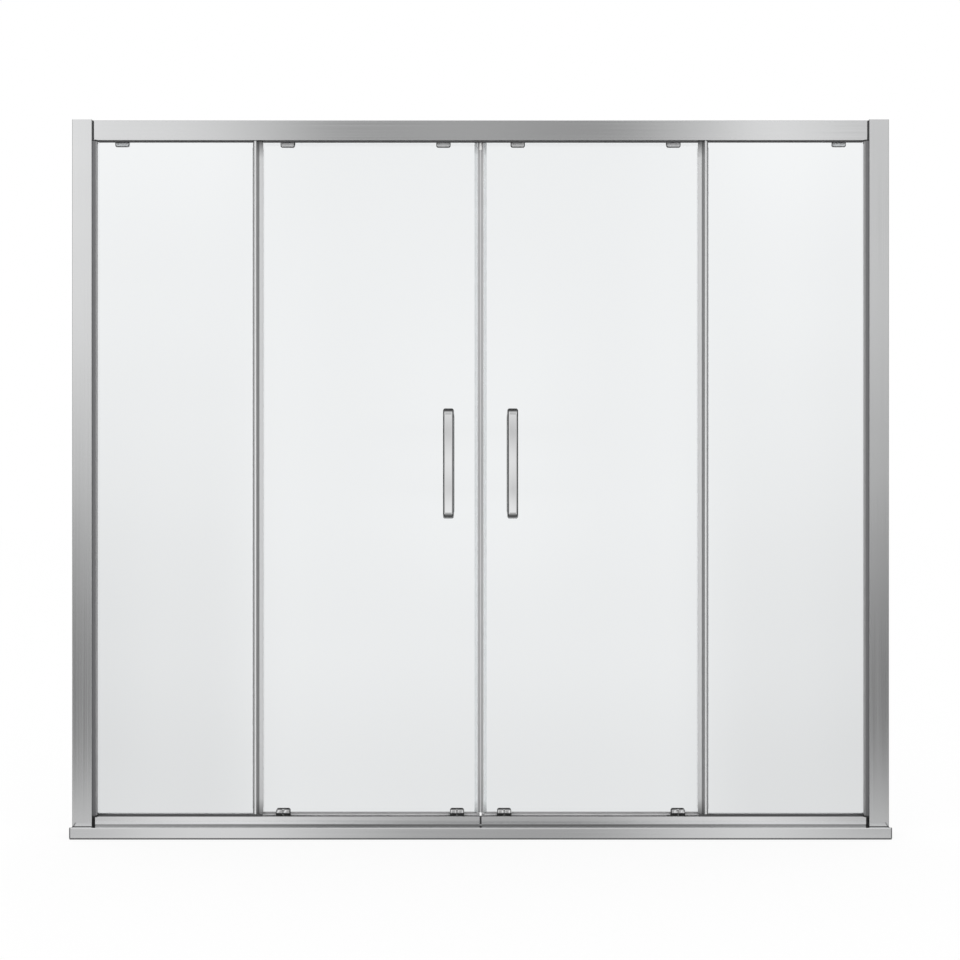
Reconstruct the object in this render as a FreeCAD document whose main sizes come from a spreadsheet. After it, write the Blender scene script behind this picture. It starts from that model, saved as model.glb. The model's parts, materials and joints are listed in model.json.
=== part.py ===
import FreeCAD, Part
import os

import Sketcher

# Four-panel sliding shower door between two walls: two fixed panes outside, two doors behind them.
# Millimetres. X runs along the opening, -Y is the outside, +Z is up.
# The origin is the middle of the sill's underside.

SIZES = (
    ("overall_width", 1700),
    ("overall_height", 1494),
    ("glass_thickness", 6),
    # sill under the frame
    ("sill_depth", 88),
    ("sill_height", 22),
    ("sill_lip", 3),
    ("sill_lip_width", 4),
    ("sill_lip_fall", 14),
    ("sill_nose_drop", 2),
    ("sill_nose_run", 1),
    ("sill_nose_round", 1),
    ("sill_toe", 4),
    ("sill_wall", 3),
    ("sill_cap", 2.5),
    ("sill_cap_plug", 12),
    ("sill_lead", 26),
    # wall jambs and the stiles that slide into them
    ("jamb_width", 41.2),
    ("jamb_wall", 2),
    ("jamb_lead", 10),
    ("jamb_foot", 1),
    ("jamb_edge_round", 1),
    ("wall_hole_radius", 3.25),
    ("wall_hole_outer_spacing", 1240),
    ("wall_hole_inner_spacing", 440),
    ("stile_reveal", 9),
    ("stile_bead", 2.5),
    ("stile_step", 3),
    ("stile_wall", 2),
    ("stile_wall_gap", 4),
    ("stile_bite", 13),
    ("stile_foot", 3.5),
    ("stile_cap", 2.6),
    # header and bottom rails
    ("rail_wall", 2),
    ("header_height", 41.5),
    ("header_end_gap", 1.5),
    ("bottom_rail_height", 19),
    ("rail_end_gap", 4.3),
    ("rail_seam", 4),
    ("rail_step", 3.5),
    ("rail_edge_round", 0.8),
    ("rail_groove_height", 2.8),
    ("rail_groove_depth", 1),
    ("track_height", 10),
    ("track_gap", 0.6),
    ("bottom_lip_width", 5),
    ("end_block_plug", 20),
    ("front_gasket", 4),
    ("rear_gasket", 2),
    ("gasket_rise", 4.1),
    ("gasket_drop", 2.6),
    ("infill_height", 12),
    ("glass_bite", 8),
    # edge of each fixed pane
    ("fixed_edge", 469.8),
    ("edge_wall", 2),
    ("edge_flange", 6),
    ("edge_flat", 7),
    ("edge_bevel", 3.6),
    ("edge_bevel_depth", 1.5),
    ("edge_nose", 14.5),
    ("lip_thickness", 2.5),
    ("lip_foot", 9),
    ("lip_foot_thickness", 1.5),
    ("lip_end_gap", 2.5),
    # doors
    ("meeting_gap", 0.6),
    ("door_bottom_gap", 4),
    ("door_top_cover", 14),
    ("seal_wall", 1.4),
    ("seal_top_gap", 10),
    ("seal_lap", 6),
    ("seal_web", 1.2),
    ("outer_seal_web", 1.7),
    ("outer_seal_lap", 10),
    ("magnet_thickness", 5.2),
    ("plug_thickness", 2.2),
    ("top_plug", 20),
    ("bottom_plug", 3),
    # top roller carriages, and the stops that they meet
    ("carriage_width", 30),
    ("carriage_setback", 70.8),
    ("carriage_inner_x", 78),
    ("carriage_plate", 4),
    ("carriage_rear_plate", 2.4),
    ("carriage_drop", 11),
    ("carriage_rear_drop", 4),
    ("carriage_saddle", 14),
    ("carriage_round", 4),
    ("plate_edge_round", 2.2),
    ("stop_setback", 57.8),
    ("stop_thickness", 5.5),
    ("bumper_thickness", 5),
    ("bumper_height", 26),
    ("clamp_screw_radius", 2.5),
    ("clamp_screw_drop", 10),
    ("glass_hole_radius", 4),
    # rollers
    ("top_wheel_radius", 9),
    ("top_wheel_width", 5),
    ("top_axle_radius", 2.5),
    ("bottom_wheel_radius", 6),
    ("bottom_wheel_width", 4.6),
    ("bottom_axle_radius", 2),
    ("wheel_side_gap", 1.4),
    ("wheel_track_gap", 0.3),
    ("wheel_back_gap", 0.7),
    ("wheel_edge_round", 0.7),
    ("axle_clearance", 0.05),
    ("axle_head", 1.2),
    ("axle_head_lip", 1.5),
    # bottom guides with their domed covers and release buttons
    ("guide_width", 29.4),
    ("guide_setback", 61.3),
    ("guide_inner_x", 49.5),
    ("guide_rise", 8.4),
    ("guide_floor_gap", 2),
    ("guide_front_gap", 0.8),
    ("guide_round", 4.5),
    ("cover_margin", 0.6),
    ("cover_base", 0.8),
    ("cover_lobe", 1.4),
    ("cover_lobe_gap", 0.8),
    ("cover_round", 1.1),
    ("button_radius", 2.3),
    ("button_drop", 5.6),
    ("button_proud", 2.2),
    ("button_length", 7.2),
    ("button_travel", 2),
    ("button_clearance", 0.1),
    ("spring_wire", 0.5),
    ("spring_length", 2.3),
    # handles
    ("handle_x", 67),
    ("handle_z", 777.8),
    ("handle_length", 230.4),
    ("handle_width", 23),
    ("handle_reach", 36),
    ("handle_bar", 10),
    ("handle_leg", 14),
    ("handle_outer_round", 13),
    ("handle_inner_round", 6),
    ("handle_edge_round", 4.6),
    ("washer_thickness", 1),
    ("washer_radius", 6.6),
    ("bolt_radius", 2.5),
    ("bolt_bite", 11),
    ("handle_hole_radius", 5),
    # frame screws and fits
    ("screw_radius", 2),
    ("screw_head_radius", 4),
    ("screw_head", 2.2),
    ("screw_length", 7),
    ("screw_spacing", 600),
    ("fit", 0.3),
    ("hole_clearance", 0.1),
)

doc = FreeCAD.newDocument("ShowerDoor")
sheet = doc.addObject("Spreadsheet::Sheet", "Sizes")
for row, (alias, number) in enumerate(SIZES, start=1):
    sheet.set(f"A{row}", alias)
    sheet.set(f"B{row}", str(number))
    sheet.setAlias(f"B{row}", alias)
doc.recompute()


class Size:
    """A length that carries its value and the sheet expression that it comes from."""

    def __init__(self, value, text):
        self.value = value
        self.text = text

    def __add__(self, other):
        other = as_size(other)
        return Size(self.value + other.value, f"({self.text} + {other.text})")

    def __sub__(self, other):
        other = as_size(other)
        return Size(self.value - other.value, f"({self.text} - {other.text})")

    def __mul__(self, number):
        return Size(self.value * number, f"({self.text} * {number})")

    def __truediv__(self, number):
        return Size(self.value / number, f"({self.text} / {number})")

    def __neg__(self):
        return self * -1

    __rmul__ = __mul__


def as_size(thing):
    if isinstance(thing, Size):
        return thing
    return Size(thing, f"({thing})")


class Named:
    """The sheet's cells, read by their aliases."""

    def __getattr__(self, alias):
        return Size(float(getattr(sheet, alias)), f"Sizes.{alias}")


S = Named()
ZERO = as_size(0)
SIDES = (("left", -1), ("right", 1))
PLACE_NAMES = ("outer", "inner")
PLANES = {"X": "YZ_Plane", "Y": "XZ_Plane", "Z": "XY_Plane"}
nodes = {}


# Places shared by the pieces

half = S.overall_width / 2
mid_height = (S.overall_height + S.sill_height) / 2
jamb_edge = half - S.jamb_width
header_end = jamb_edge - S.header_end_gap
rail_end = jamb_edge - S.rail_end_gap
rail_top = S.sill_height + S.bottom_rail_height
rail_floor = S.sill_height + S.rail_wall
rail_step_top = rail_top - S.rail_step
gasket_top = rail_top + S.gasket_rise
header_bottom = S.overall_height - S.header_height
header_roof = S.overall_height - S.rail_wall
track_top = header_bottom + S.track_height
jamb_bottom = S.sill_height + S.jamb_foot
sill_lip_top = S.sill_height + S.sill_lip

# depth, from the front of the sill to its back
sill_front = -(S.sill_depth / 2)
sill_back = S.sill_depth / 2
jamb_front = sill_front + S.sill_lead
rail_front = jamb_front + S.jamb_lead
slot_front = rail_front + S.rail_wall
fixed_front = slot_front + S.front_gasket
fixed_back = fixed_front + S.glass_thickness
slot_back = fixed_back + S.rear_gasket
chamber_front = slot_back + S.rail_wall
plate_front = chamber_front + S.guide_front_gap + S.cover_base + S.cover_lobe
door_front = plate_front + S.carriage_plate
door_back = door_front + S.glass_thickness
plate_back = door_back + S.carriage_rear_plate
track_edge = plate_back + S.track_gap
wheel_front = plate_back + S.wheel_side_gap
chamber_back = wheel_front + S.top_wheel_width + S.fit + S.axle_head + S.wheel_back_gap
rail_back = chamber_back + S.rail_wall
jamb_back = rail_back + S.fit + S.jamb_wall

# doors and what they carry
door_bottom = rail_top + S.door_bottom_gap
door_top = header_bottom + S.door_top_cover
carriage_bottom = header_bottom - S.carriage_drop
carriage_top = door_top + S.carriage_saddle
guide_top = door_bottom + S.guide_rise
guide_bottom = rail_floor + S.guide_floor_gap
clamp_screw_z = door_top - S.clamp_screw_drop
top_axle_z = track_top + S.wheel_track_gap + S.top_wheel_radius
bottom_axle_z = rail_floor + S.wheel_track_gap + S.bottom_wheel_radius
button_z = door_bottom - S.button_drop
button_front = plate_front - S.button_proud
button_back = button_front + S.button_length
bore_back = button_back + S.button_travel + S.fit + S.spring_length
bolt_reach = S.handle_length / 2 - S.handle_leg / 2
bolt_heights = (S.handle_z - bolt_reach, S.handle_z + bolt_reach)
outer_foot = door_front - S.washer_thickness
inner_foot = door_back + S.washer_thickness

# stiles in the jambs
stile_front = jamb_front + S.jamb_wall + S.fit
stile_back = jamb_back - S.jamb_wall - S.fit
stile_inner = jamb_edge - S.stile_reveal
stile_outer = half - S.jamb_wall - S.stile_wall_gap
pocket_front = fixed_front - S.rear_gasket
pocket_end = stile_inner + S.stile_bite
stile_bottom = rail_top + S.stile_foot
stile_top = header_bottom - S.stile_cap
screw_x = (pocket_end + stile_outer) / 2
screw_heights = (mid_height - S.screw_spacing, mid_height, mid_height + S.screw_spacing)

# meeting edges of the panes, and the fittings along them
edge_front = fixed_front - S.edge_wall
edge_back = fixed_back + S.edge_wall
edge_far = S.fixed_edge + S.edge_flange
edge_near = S.fixed_edge - S.edge_nose
lip_low = guide_top + S.lip_end_gap
lip_high = carriage_bottom - S.lip_end_gap
seal_front = door_front - S.seal_wall
seal_back = door_back + S.seal_wall
seal_top = door_top - S.seal_top_gap
magnet_face = S.meeting_gap / 2
seal_face = magnet_face + S.magnet_thickness
door_inner = seal_face + S.seal_web
door_outer = edge_far
carriage_places = (door_outer - S.carriage_setback, S.carriage_inner_x)
guide_places = (door_outer - S.guide_setback, S.guide_inner_x)
stop_x = jamb_edge - S.stop_setback
stop_face = stop_x - S.carriage_width / 2


# Ways of making a piece

def across(side, near, far):
    """The span from near to far on one side of the middle, lower end first."""
    if side > 0:
        return near, far
    return -far, -near


def rectangle(low_x, high_x, low_y, high_y):
    return [(low_x, low_y), (high_x, low_y), (high_x, high_y), (low_x, high_y)]


def mirrored(side, corners):
    return [(side * x, y) for x, y in corners]


def tie(sketch, element, point, x, y):
    """Holds one sketch point at a place that follows the sheet, or on an axis of the sketch."""
    for kind, spot, axis in (("DistanceX", x, -2), ("DistanceY", y, -1)):
        if spot is ZERO:
            sketch.addConstraint(Sketcher.Constraint("PointOnObject", element, point, axis))
            continue
        index = sketch.addConstraint(Sketcher.Constraint(kind, -1, 1, element, point, spot.value))
        sketch.setExpression(f"Constraints[{index}]", spot.text)


def draw_outline(sketch, corners):
    first = sketch.GeometryCount
    count = len(corners)
    spots = [FreeCAD.Vector(x.value, y.value, 0) for x, y in corners]
    lines = [Part.LineSegment(spots[i], spots[(i + 1) % count]) for i in range(count)]
    sketch.addGeometry(lines)
    for i in range(count):
        joined = Sketcher.Constraint("Coincident", first + i, 2, first + (i + 1) % count, 1)
        sketch.addConstraint(joined)
    for i, (x, y) in enumerate(corners):
        tie(sketch, first + i, 1, x, y)


def draw_circle(sketch, x, y, radius):
    centre = FreeCAD.Vector(x.value, y.value, 0)
    circle = sketch.addGeometry(Part.Circle(centre, FreeCAD.Vector(0, 0, 1), radius.value))
    tie(sketch, circle, 3, x, y)
    index = sketch.addConstraint(Sketcher.Constraint("Radius", circle, radius.value))
    sketch.setExpression(f"Constraints[{index}]", radius.text)


def new_body(label):
    body = doc.addObject("PartDesign::Body", label)
    body.Label = label
    return body


def new_sketch(body, along, low, high, outlines, circles):
    """A sketch square to an axis. The XZ plane faces -Y, so along Y it lies at the far end."""
    start = -high if along == "Y" else low
    sketch = body.newObject("Sketcher::SketchObject", f"{body.Name}_sketch")
    origin = body.Origin.OriginFeatures
    plane = next(feature for feature in origin if feature.Role == PLANES[along])
    sketch.AttachmentSupport = (plane, [""])
    sketch.MapMode = "FlatFace"
    sketch.setExpression("AttachmentOffset.Base.z", start.text)
    for corners in outlines:
        draw_outline(sketch, corners)
    for circle in circles:
        draw_circle(sketch, *circle)
    return sketch


def pad(body, along, low, high, outlines, circles=()):
    sketch = new_sketch(body, along, low, high, outlines, circles)
    feature = body.newObject("PartDesign::Pad", f"{body.Name}_pad")
    feature.Profile = sketch
    feature.setExpression("Length", (high - low).text)
    doc.recompute()
    return feature


def cut(body, along, low, high, outlines, circles=()):
    before = body.Shape.Volume
    sketch = new_sketch(body, along, low, high, outlines, circles)
    feature = body.newObject("PartDesign::Pocket", f"{body.Name}_cut")
    feature.Profile = sketch
    feature.Reversed = True
    feature.setExpression("Length", (high - low).text)
    doc.recompute()
    if body.Shape.Volume >= before:
        raise RuntimeError(f"a cut in {body.Label} removes nothing")
    return feature


def round_edges(body, radius, wanted):
    """Rounds the edges that wanted picks by their two ends."""
    base = body.Tip
    names = []
    for index, edge in enumerate(base.Shape.Edges, start=1):
        ends = [vertex.Point for vertex in edge.Vertexes]
        if wanted(ends[0], ends[-1]):
            names.append(f"Edge{index}")
    if not names:
        raise RuntimeError(f"no edge to round in {body.Label}")
    fillet = body.newObject("PartDesign::Fillet", f"{body.Name}_round")
    fillet.Base = (base, names)
    fillet.setExpression("Radius", radius.text)
    doc.recompute()


def round_outline(body, front):
    """Eases the outline of a plate's front face, but not the holes in it."""
    round_edges(
        body,
        S.plate_edge_round,
        lambda a, b: near(a.y, front) and near(b.y, front) and abs(a.x - b.x) + abs(a.z - b.z) > 1,
    )


def near(value, *places):
    return any(abs(value - place.value) < 1e-4 for place in places)


def place(piece, x=ZERO, y=ZERO, z=ZERO):
    piece.setExpression("Placement.Base.x", x.text)
    piece.setExpression("Placement.Base.y", y.text)
    piece.setExpression("Placement.Base.z", z.text)


def box(label, x_span, y_span, z_span):
    piece = doc.addObject("Part::Box", label)
    piece.Label = label
    for name, (low, high) in (("Length", x_span), ("Width", y_span), ("Height", z_span)):
        piece.setExpression(name, (high - low).text)
    place(piece, x_span[0], y_span[0], z_span[0])
    return piece


def rod(label, radius, x, z, y_low, y_high):
    """A round bar along Y."""
    piece = doc.addObject("Part::Cylinder", label)
    piece.Label = label
    piece.setExpression("Radius", radius.text)
    piece.setExpression("Height", (y_high - y_low).text)
    piece.Placement.Rotation = FreeCAD.Rotation(FreeCAD.Vector(1, 0, 0), -90)
    place(piece, x, y_low, z)
    return piece


def fused(label, *pieces):
    whole = doc.addObject("Part::MultiFuse", label)
    whole.Label = label
    whole.Shapes = list(pieces)
    return whole


def ring(label, outer, inner, x, z, y_low, y_high):
    whole = doc.addObject("Part::Cut", label)
    whole.Label = label
    whole.Base = rod(f"{label}_outer", outer, x, z, y_low, y_high)
    whole.Tool = rod(f"{label}_inner", inner, x, z, y_low, y_high)
    return whole


def keep(piece):
    nodes[piece.Label] = piece


def keep_group(label, pieces):
    group = doc.addObject("Part::Compound", label)
    group.Label = label
    group.Links = pieces
    keep(group)


# Frame fixed to the walls

def wall_jamb(name, side):
    """Channel that is screwed to the wall, open towards the glass."""
    body = new_body(f"wall_jamb_{name}")
    wall = S.jamb_wall
    corners = [
        (half, jamb_front),
        (half, jamb_back),
        (jamb_edge, jamb_back),
        (jamb_edge, jamb_back - wall),
        (half - wall, jamb_back - wall),
        (half - wall, jamb_front + wall),
        (jamb_edge, jamb_front + wall),
        (jamb_edge, jamb_front),
    ]
    pad(body, "Z", jamb_bottom, S.overall_height, [mirrored(side, corners)])
    middle = (jamb_front + jamb_back) / 2
    holes = []
    for spacing in (S.wall_hole_outer_spacing, S.wall_hole_inner_spacing):
        holes.append((middle, mid_height - spacing / 2, S.wall_hole_radius))
        holes.append((middle, mid_height + spacing / 2, S.wall_hole_radius))
    low, high = across(side, half - wall, half)
    cut(body, "X", low, high, [], holes)
    hole = S.screw_radius + S.hole_clearance
    spots = [(side * screw_x, z, hole) for z in screw_heights]
    cut(body, "Y", jamb_back - wall, jamb_back, [], spots)
    round_edges(
        body,
        S.jamb_edge_round,
        lambda a, b: near(a.y, jamb_front) and near(b.y, jamb_front) and abs(a.z - b.z) > 1,
    )
    keep(body)


def inner_stile(name, side):
    """Hollow upright inside the jamb, with a pocket that takes the edge of the fixed pane."""
    body = new_body(f"inner_stile_{name}")
    wall = S.stile_wall
    bead = stile_inner + S.stile_bead
    corners = [
        (stile_outer, stile_front),
        (bead, stile_front),
        (bead, stile_front + S.stile_step),
        (stile_inner, stile_front + S.stile_step),
        (stile_inner, pocket_front),
        (pocket_end, pocket_front),
        (pocket_end, slot_back),
        (bead, slot_back),
        (bead, slot_back + wall),
        (pocket_end, slot_back + wall),
        (pocket_end, stile_back),
        (stile_outer, stile_back),
    ]
    hollow = rectangle(pocket_end + wall, stile_outer - wall, stile_front + wall, stile_back - wall)
    outlines = [mirrored(side, corners), mirrored(side, hollow)]
    pad(body, "Z", stile_bottom, stile_top, outlines)
    hole = S.screw_radius + S.hole_clearance
    spots = [(side * screw_x, z, hole) for z in screw_heights]
    cut(body, "Y", stile_back - wall, stile_back, [], spots)
    keep(body)


def header_rail():
    """Top rail: a slot for the fixed panes in front, the roller track behind."""
    body = new_body("header_rail")
    bottom, top = header_bottom, S.overall_height
    track_under = track_top - S.rail_wall
    corners = [
        (rail_front, bottom),
        (rail_front, top),
        (rail_back, top),
        (rail_back, track_under),
        (track_edge, track_under),
        (track_edge, track_top),
        (chamber_back, track_top),
        (chamber_back, header_roof),
        (chamber_front, header_roof),
        (chamber_front, bottom),
        (slot_back, bottom),
        (slot_back, header_roof),
        (slot_front, header_roof),
        (slot_front, bottom),
    ]
    pad(body, "X", -header_end, header_end, [corners])
    hole = S.screw_radius + S.hole_clearance
    cut(body, "Y", slot_back, chamber_front, [], [(side * stop_x, door_top, hole) for _, side in SIDES])
    round_edges(
        body,
        S.rail_edge_round,
        lambda a, b: near(a.y, rail_front) and near(b.y, rail_front) and abs(a.x - b.x) > 1,
    )
    keep(body)


def bottom_rail(name, side):
    """One half of the bottom rail; the two halves meet at a seam in the middle."""
    body = new_body(f"bottom_rail_{name}")
    foot, top = S.sill_height, rail_top
    lip_edge = chamber_back - S.bottom_lip_width
    groove_top = foot + S.rail_groove_height
    groove_back = rail_front + S.rail_groove_depth
    corners = [
        (groove_back, foot),
        (groove_back, groove_top),
        (rail_front, groove_top),
        (rail_front, top),
        (slot_front, top),
        (slot_front, rail_floor),
        (slot_back, rail_floor),
        (slot_back, rail_step_top),
        (chamber_front, rail_step_top),
        (chamber_front, rail_floor),
        (chamber_back, rail_floor),
        (chamber_back, top - S.rail_wall),
        (lip_edge, top - S.rail_wall),
        (lip_edge, top),
        (rail_back, top),
        (rail_back, foot),
    ]
    low, high = across(side, S.rail_seam / 2, rail_end)
    pad(body, "X", low, high, [corners])
    round_edges(
        body,
        S.rail_edge_round,
        lambda a, b: near(a.y, rail_front) and near(b.y, rail_front) and abs(a.x - b.x) > 1,
    )
    keep(body)


def end_blocks(label, end, stile_span, rail_span, plug_span, foot_span=None):
    """Blocks that fill the jambs' ends, seat the stiles and plug into a rail, on a foot plate where asked."""
    pieces = []
    neck_far = jamb_edge + S.fit
    block_span = (rail_span[0], stile_span[1]) if foot_span else (stile_span[0], rail_span[1])
    spans = [
        (neck_far, stile_outer, stile_front, stile_back, *block_span),
        (end, neck_far, rail_front, rail_back, *rail_span),
        (stile_inner, neck_far, stile_front, pocket_front, *stile_span),
        (end - S.end_block_plug, end, chamber_front + S.fit, chamber_back - S.fit, *plug_span),
    ]
    if foot_span:
        spans.append((jamb_edge, half, jamb_front, jamb_back, *foot_span))
    for name, side in SIDES:
        body = new_body(f"{label}_{name}")
        for near_x, far_x, front, back, bottom, top in spans:
            low, high = across(side, near_x, far_x)
            pad(body, "X", low, high, [rectangle(front, back, bottom, top)])
        pieces.append(body)
    keep_group(label, pieces)


def sill_outline():
    return [
        (sill_front + S.sill_toe, ZERO),
        (sill_front, S.sill_toe),
        (sill_front, sill_lip_top - S.sill_nose_drop),
        (sill_front + S.sill_nose_run, sill_lip_top),
        (sill_front + S.sill_lip_width, sill_lip_top),
        (sill_front + S.sill_lip_width + S.sill_lip_fall, S.sill_height),
        (sill_back, S.sill_height),
        (sill_back, ZERO),
    ]


def sill_hollows(gap):
    """The sill's two chambers, drawn in by a gap for the plugs of its end caps."""
    wall = S.sill_wall + gap
    rib = S.sill_wall / 2 + gap
    front = sill_front + S.sill_nose_run + wall
    top = S.sill_height - wall
    return [
        rectangle(front, -rib, wall, top),
        rectangle(rib, sill_back - wall, wall, top),
    ]


def sill():
    """Hollow threshold that stands on the floor or the bath's rim and carries the frame."""
    body = new_body("sill")
    cap_face = half - S.sill_cap
    pad(body, "X", -cap_face, cap_face, [sill_outline()] + sill_hollows(ZERO))
    round_edges(
        body,
        S.sill_nose_round,
        lambda a, b: near(a.z, sill_lip_top - S.sill_nose_drop, sill_lip_top)
        and near(a.y, sill_front, sill_front + S.sill_nose_run)
        and abs(a.x - b.x) > 1,
    )
    keep(body)


def sill_end_caps():
    pieces = []
    cap_face = half - S.sill_cap
    for name, side in SIDES:
        body = new_body(f"sill_end_cap_{name}")
        low, high = across(side, cap_face, half)
        pad(body, "X", low, high, [sill_outline()])
        low, high = across(side, cap_face - S.sill_cap_plug, cap_face)
        for hollow in sill_hollows(S.fit):
            pad(body, "X", low, high, [hollow])
        pieces.append(body)
    keep_group("sill_end_caps", pieces)


def fixed_glass(name, side):
    body = new_body(f"fixed_glass_{name}")
    low, high = across(side, S.fixed_edge, rail_end - S.fit)
    outline = rectangle(low, high, rail_floor + S.rear_gasket, header_roof - S.glass_bite)
    pad(body, "Y", fixed_front, fixed_back, [outline])
    keep(body)


def glazing_gaskets():
    """Rubber strips that hold the fixed panes in both rails and in the stile's pocket."""
    pieces = []
    glass_low = rail_floor + S.rear_gasket
    glass_high = header_roof - S.glass_bite
    inner = S.fixed_edge + S.edge_flange + S.fit
    for name, side in SIDES:
        run = across(side, inner, stile_inner - S.fit)
        front_run = across(side, edge_near, stile_inner - S.fit)
        front_tuck = across(side, stile_inner + S.stile_step, pocket_end)
        rear_tuck = across(side, stile_inner + S.stile_bead, pocket_end)
        front = (slot_front, fixed_front)
        rear = (fixed_back, slot_back)
        strips = (
            ("bottom_front", front_run, front, (glass_low, gasket_top)),
            ("bottom_rear", run, rear, (glass_low, rail_step_top + S.gasket_drop)),
            ("top_front", run, front, (header_bottom - S.gasket_drop, glass_high)),
            ("top_rear", run, rear, (header_bottom - S.gasket_drop, glass_high)),
            ("side_front", front_tuck, (pocket_front, fixed_front), (stile_bottom, stile_top)),
            ("side_rear", rear_tuck, rear, (stile_bottom, stile_top)),
        )
        for strip, x_span, y_span, z_span in strips:
            pieces.append(box(f"gasket_{name}_{strip}", x_span, y_span, z_span))
    keep_group("glazing_gaskets", pieces)


def slot_infills():
    """Strips that close the glazing slots of both rails between the fixed panes."""
    y_span = (slot_front + S.fit, slot_back - S.fit)
    reach = edge_near - S.fit
    top_low = header_bottom - S.gasket_drop
    top = box("header_infill", (-reach, reach), y_span, (top_low, top_low + S.infill_height))
    bottom_high = rail_step_top + S.gasket_drop
    bottom = box("bottom_infill", (-reach, reach), y_span, (rail_floor, bottom_high))
    keep_group("slot_infills", [top, bottom])


def fixed_edge_profiles():
    """Channel over the free edge of each fixed pane, with a slanted nose."""
    pieces = []
    for name, side in SIDES:
        body = new_body(f"fixed_edge_profile_{name}")
        corners = [
            (edge_far, edge_front + S.edge_bevel_depth),
            (edge_far - S.edge_bevel, edge_front),
            (edge_far - S.edge_flat, edge_front),
            (edge_near, fixed_back),
            (edge_near, edge_back),
            (edge_far, edge_back),
            (edge_far, fixed_back),
            (S.fixed_edge, fixed_back),
            (S.fixed_edge, fixed_front),
            (edge_far, fixed_front),
        ]
        pad(body, "Z", gasket_top, header_bottom, [mirrored(side, corners)])
        pieces.append(body)
    keep_group("fixed_edge_profiles", pieces)


def fixed_edge_seals():
    """Lip from the fixed pane's edge to the door, cut short where the door's fittings pass."""
    pieces = []
    foot_back = edge_back + S.lip_foot_thickness
    for name, side in SIDES:
        body = new_body(f"fixed_edge_seal_{name}")
        corners = [
            (edge_near, edge_back),
            (edge_near, door_front - S.fit),
            (edge_near + S.lip_thickness, door_front - S.fit),
            (edge_near + S.lip_thickness, foot_back),
            (edge_near + S.lip_foot, foot_back),
            (edge_near + S.lip_foot, edge_back),
        ]
        pad(body, "Z", lip_low, lip_high, [mirrored(side, corners)])
        pieces.append(body)
    keep_group("fixed_edge_seals", pieces)


def header_stops():
    """Stops on the header that the outer carriages meet when the doors are open."""
    pieces = []
    stop_back = chamber_front + S.stop_thickness
    hole = S.screw_radius + S.hole_clearance
    for name, side in SIDES:
        body = new_body(f"header_stop_{name}")
        low = side * stop_x - S.carriage_width / 2
        high = side * stop_x + S.carriage_width / 2
        pad(body, "Y", chamber_front, stop_back, [rectangle(low, high, carriage_bottom, carriage_top)])
        cut(body, "Y", chamber_front, stop_back, [], [(side * stop_x, door_top, hole)])
        round_edges(
            body,
            S.carriage_round,
            lambda a, b: near(a.z, carriage_bottom) and near(b.z, carriage_bottom) and abs(a.y - b.y) > 1,
        )
        round_outline(body, chamber_front)
        pieces.append(body)
    keep_group("header_stops", pieces)


def stop_bumpers():
    pieces = []
    low_z = carriage_top - S.bumper_height
    y_span = (chamber_front + S.fit, chamber_front + S.stop_thickness)
    for name, side in SIDES:
        x_span = across(side, stop_face - S.bumper_thickness, stop_face)
        pieces.append(box(f"stop_bumper_{name}", x_span, y_span, (low_z, carriage_top)))
    keep_group("stop_bumpers", pieces)


def frame_screws():
    """Screws through the jambs' rear flanges into the stiles, and those that hold the stops."""
    pieces = []
    for name, side in SIDES:
        x = side * screw_x
        for index, z in enumerate(screw_heights):
            label = f"jamb_screw_{name}_{index}"
            shank = rod(f"{label}_shank", S.screw_radius, x, z, jamb_back - S.screw_length, jamb_back)
            top = jamb_back + S.screw_head
            head = rod(f"{label}_head", S.screw_head_radius, x, z, jamb_back, top)
            pieces.append(fused(label, shank, head))
        end = chamber_front + S.stop_thickness
        x = side * stop_x
        pieces.append(rod(f"stop_screw_{name}", S.screw_radius, x, door_top, slot_back, end))
    keep_group("frame_screws", pieces)


# Doors that slide behind the fixed panes

def door_glass(name, side):
    body = new_body(f"door_glass_{name}")
    low, high = across(side, door_inner, door_outer)
    holes = [(side * x, clamp_screw_z, S.glass_hole_radius) for x in carriage_places]
    holes += [(side * S.handle_x, z, S.handle_hole_radius) for z in bolt_heights]
    pad(body, "Y", door_front, door_back, [rectangle(low, high, door_bottom, door_top)], holes)
    keep(body)


def magnet_seal(name, side):
    """Clear strip over the door's meeting edge, which carries the magnet."""
    body = new_body(f"magnet_seal_{name}")
    lap = door_inner + S.seal_lap
    corners = [
        (seal_face, seal_front),
        (lap, seal_front),
        (lap, door_front),
        (door_inner, door_front),
        (door_inner, door_back),
        (lap, door_back),
        (lap, seal_back),
        (seal_face, seal_back),
    ]
    pad(body, "Z", door_bottom, seal_top, [mirrored(side, corners)])
    keep(body)


def magnet_strip(name, side):
    """Magnet along the door's meeting edge, with a thin plug let into each end of its face."""
    body = new_body(f"magnet_strip_{name}")
    notch = magnet_face + S.plug_thickness
    low = door_bottom + S.bottom_plug
    high = seal_top - S.top_plug
    corners = [
        (notch, door_bottom),
        (seal_face, door_bottom),
        (seal_face, seal_top),
        (notch, seal_top),
        (notch, high),
        (magnet_face, high),
        (magnet_face, low),
        (notch, low),
    ]
    pad(body, "Y", seal_front, seal_back, [mirrored(side, corners)])
    keep(body)
    x_span = across(side, magnet_face, notch)
    y_span = (seal_front, seal_back)
    ends = ((door_bottom, low), (high, seal_top))
    plugs = [box(f"magnet_plug_{name}_{i}", x_span, y_span, span) for i, span in enumerate(ends)]
    keep_group(f"magnet_end_plugs_{name}", plugs)


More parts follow.
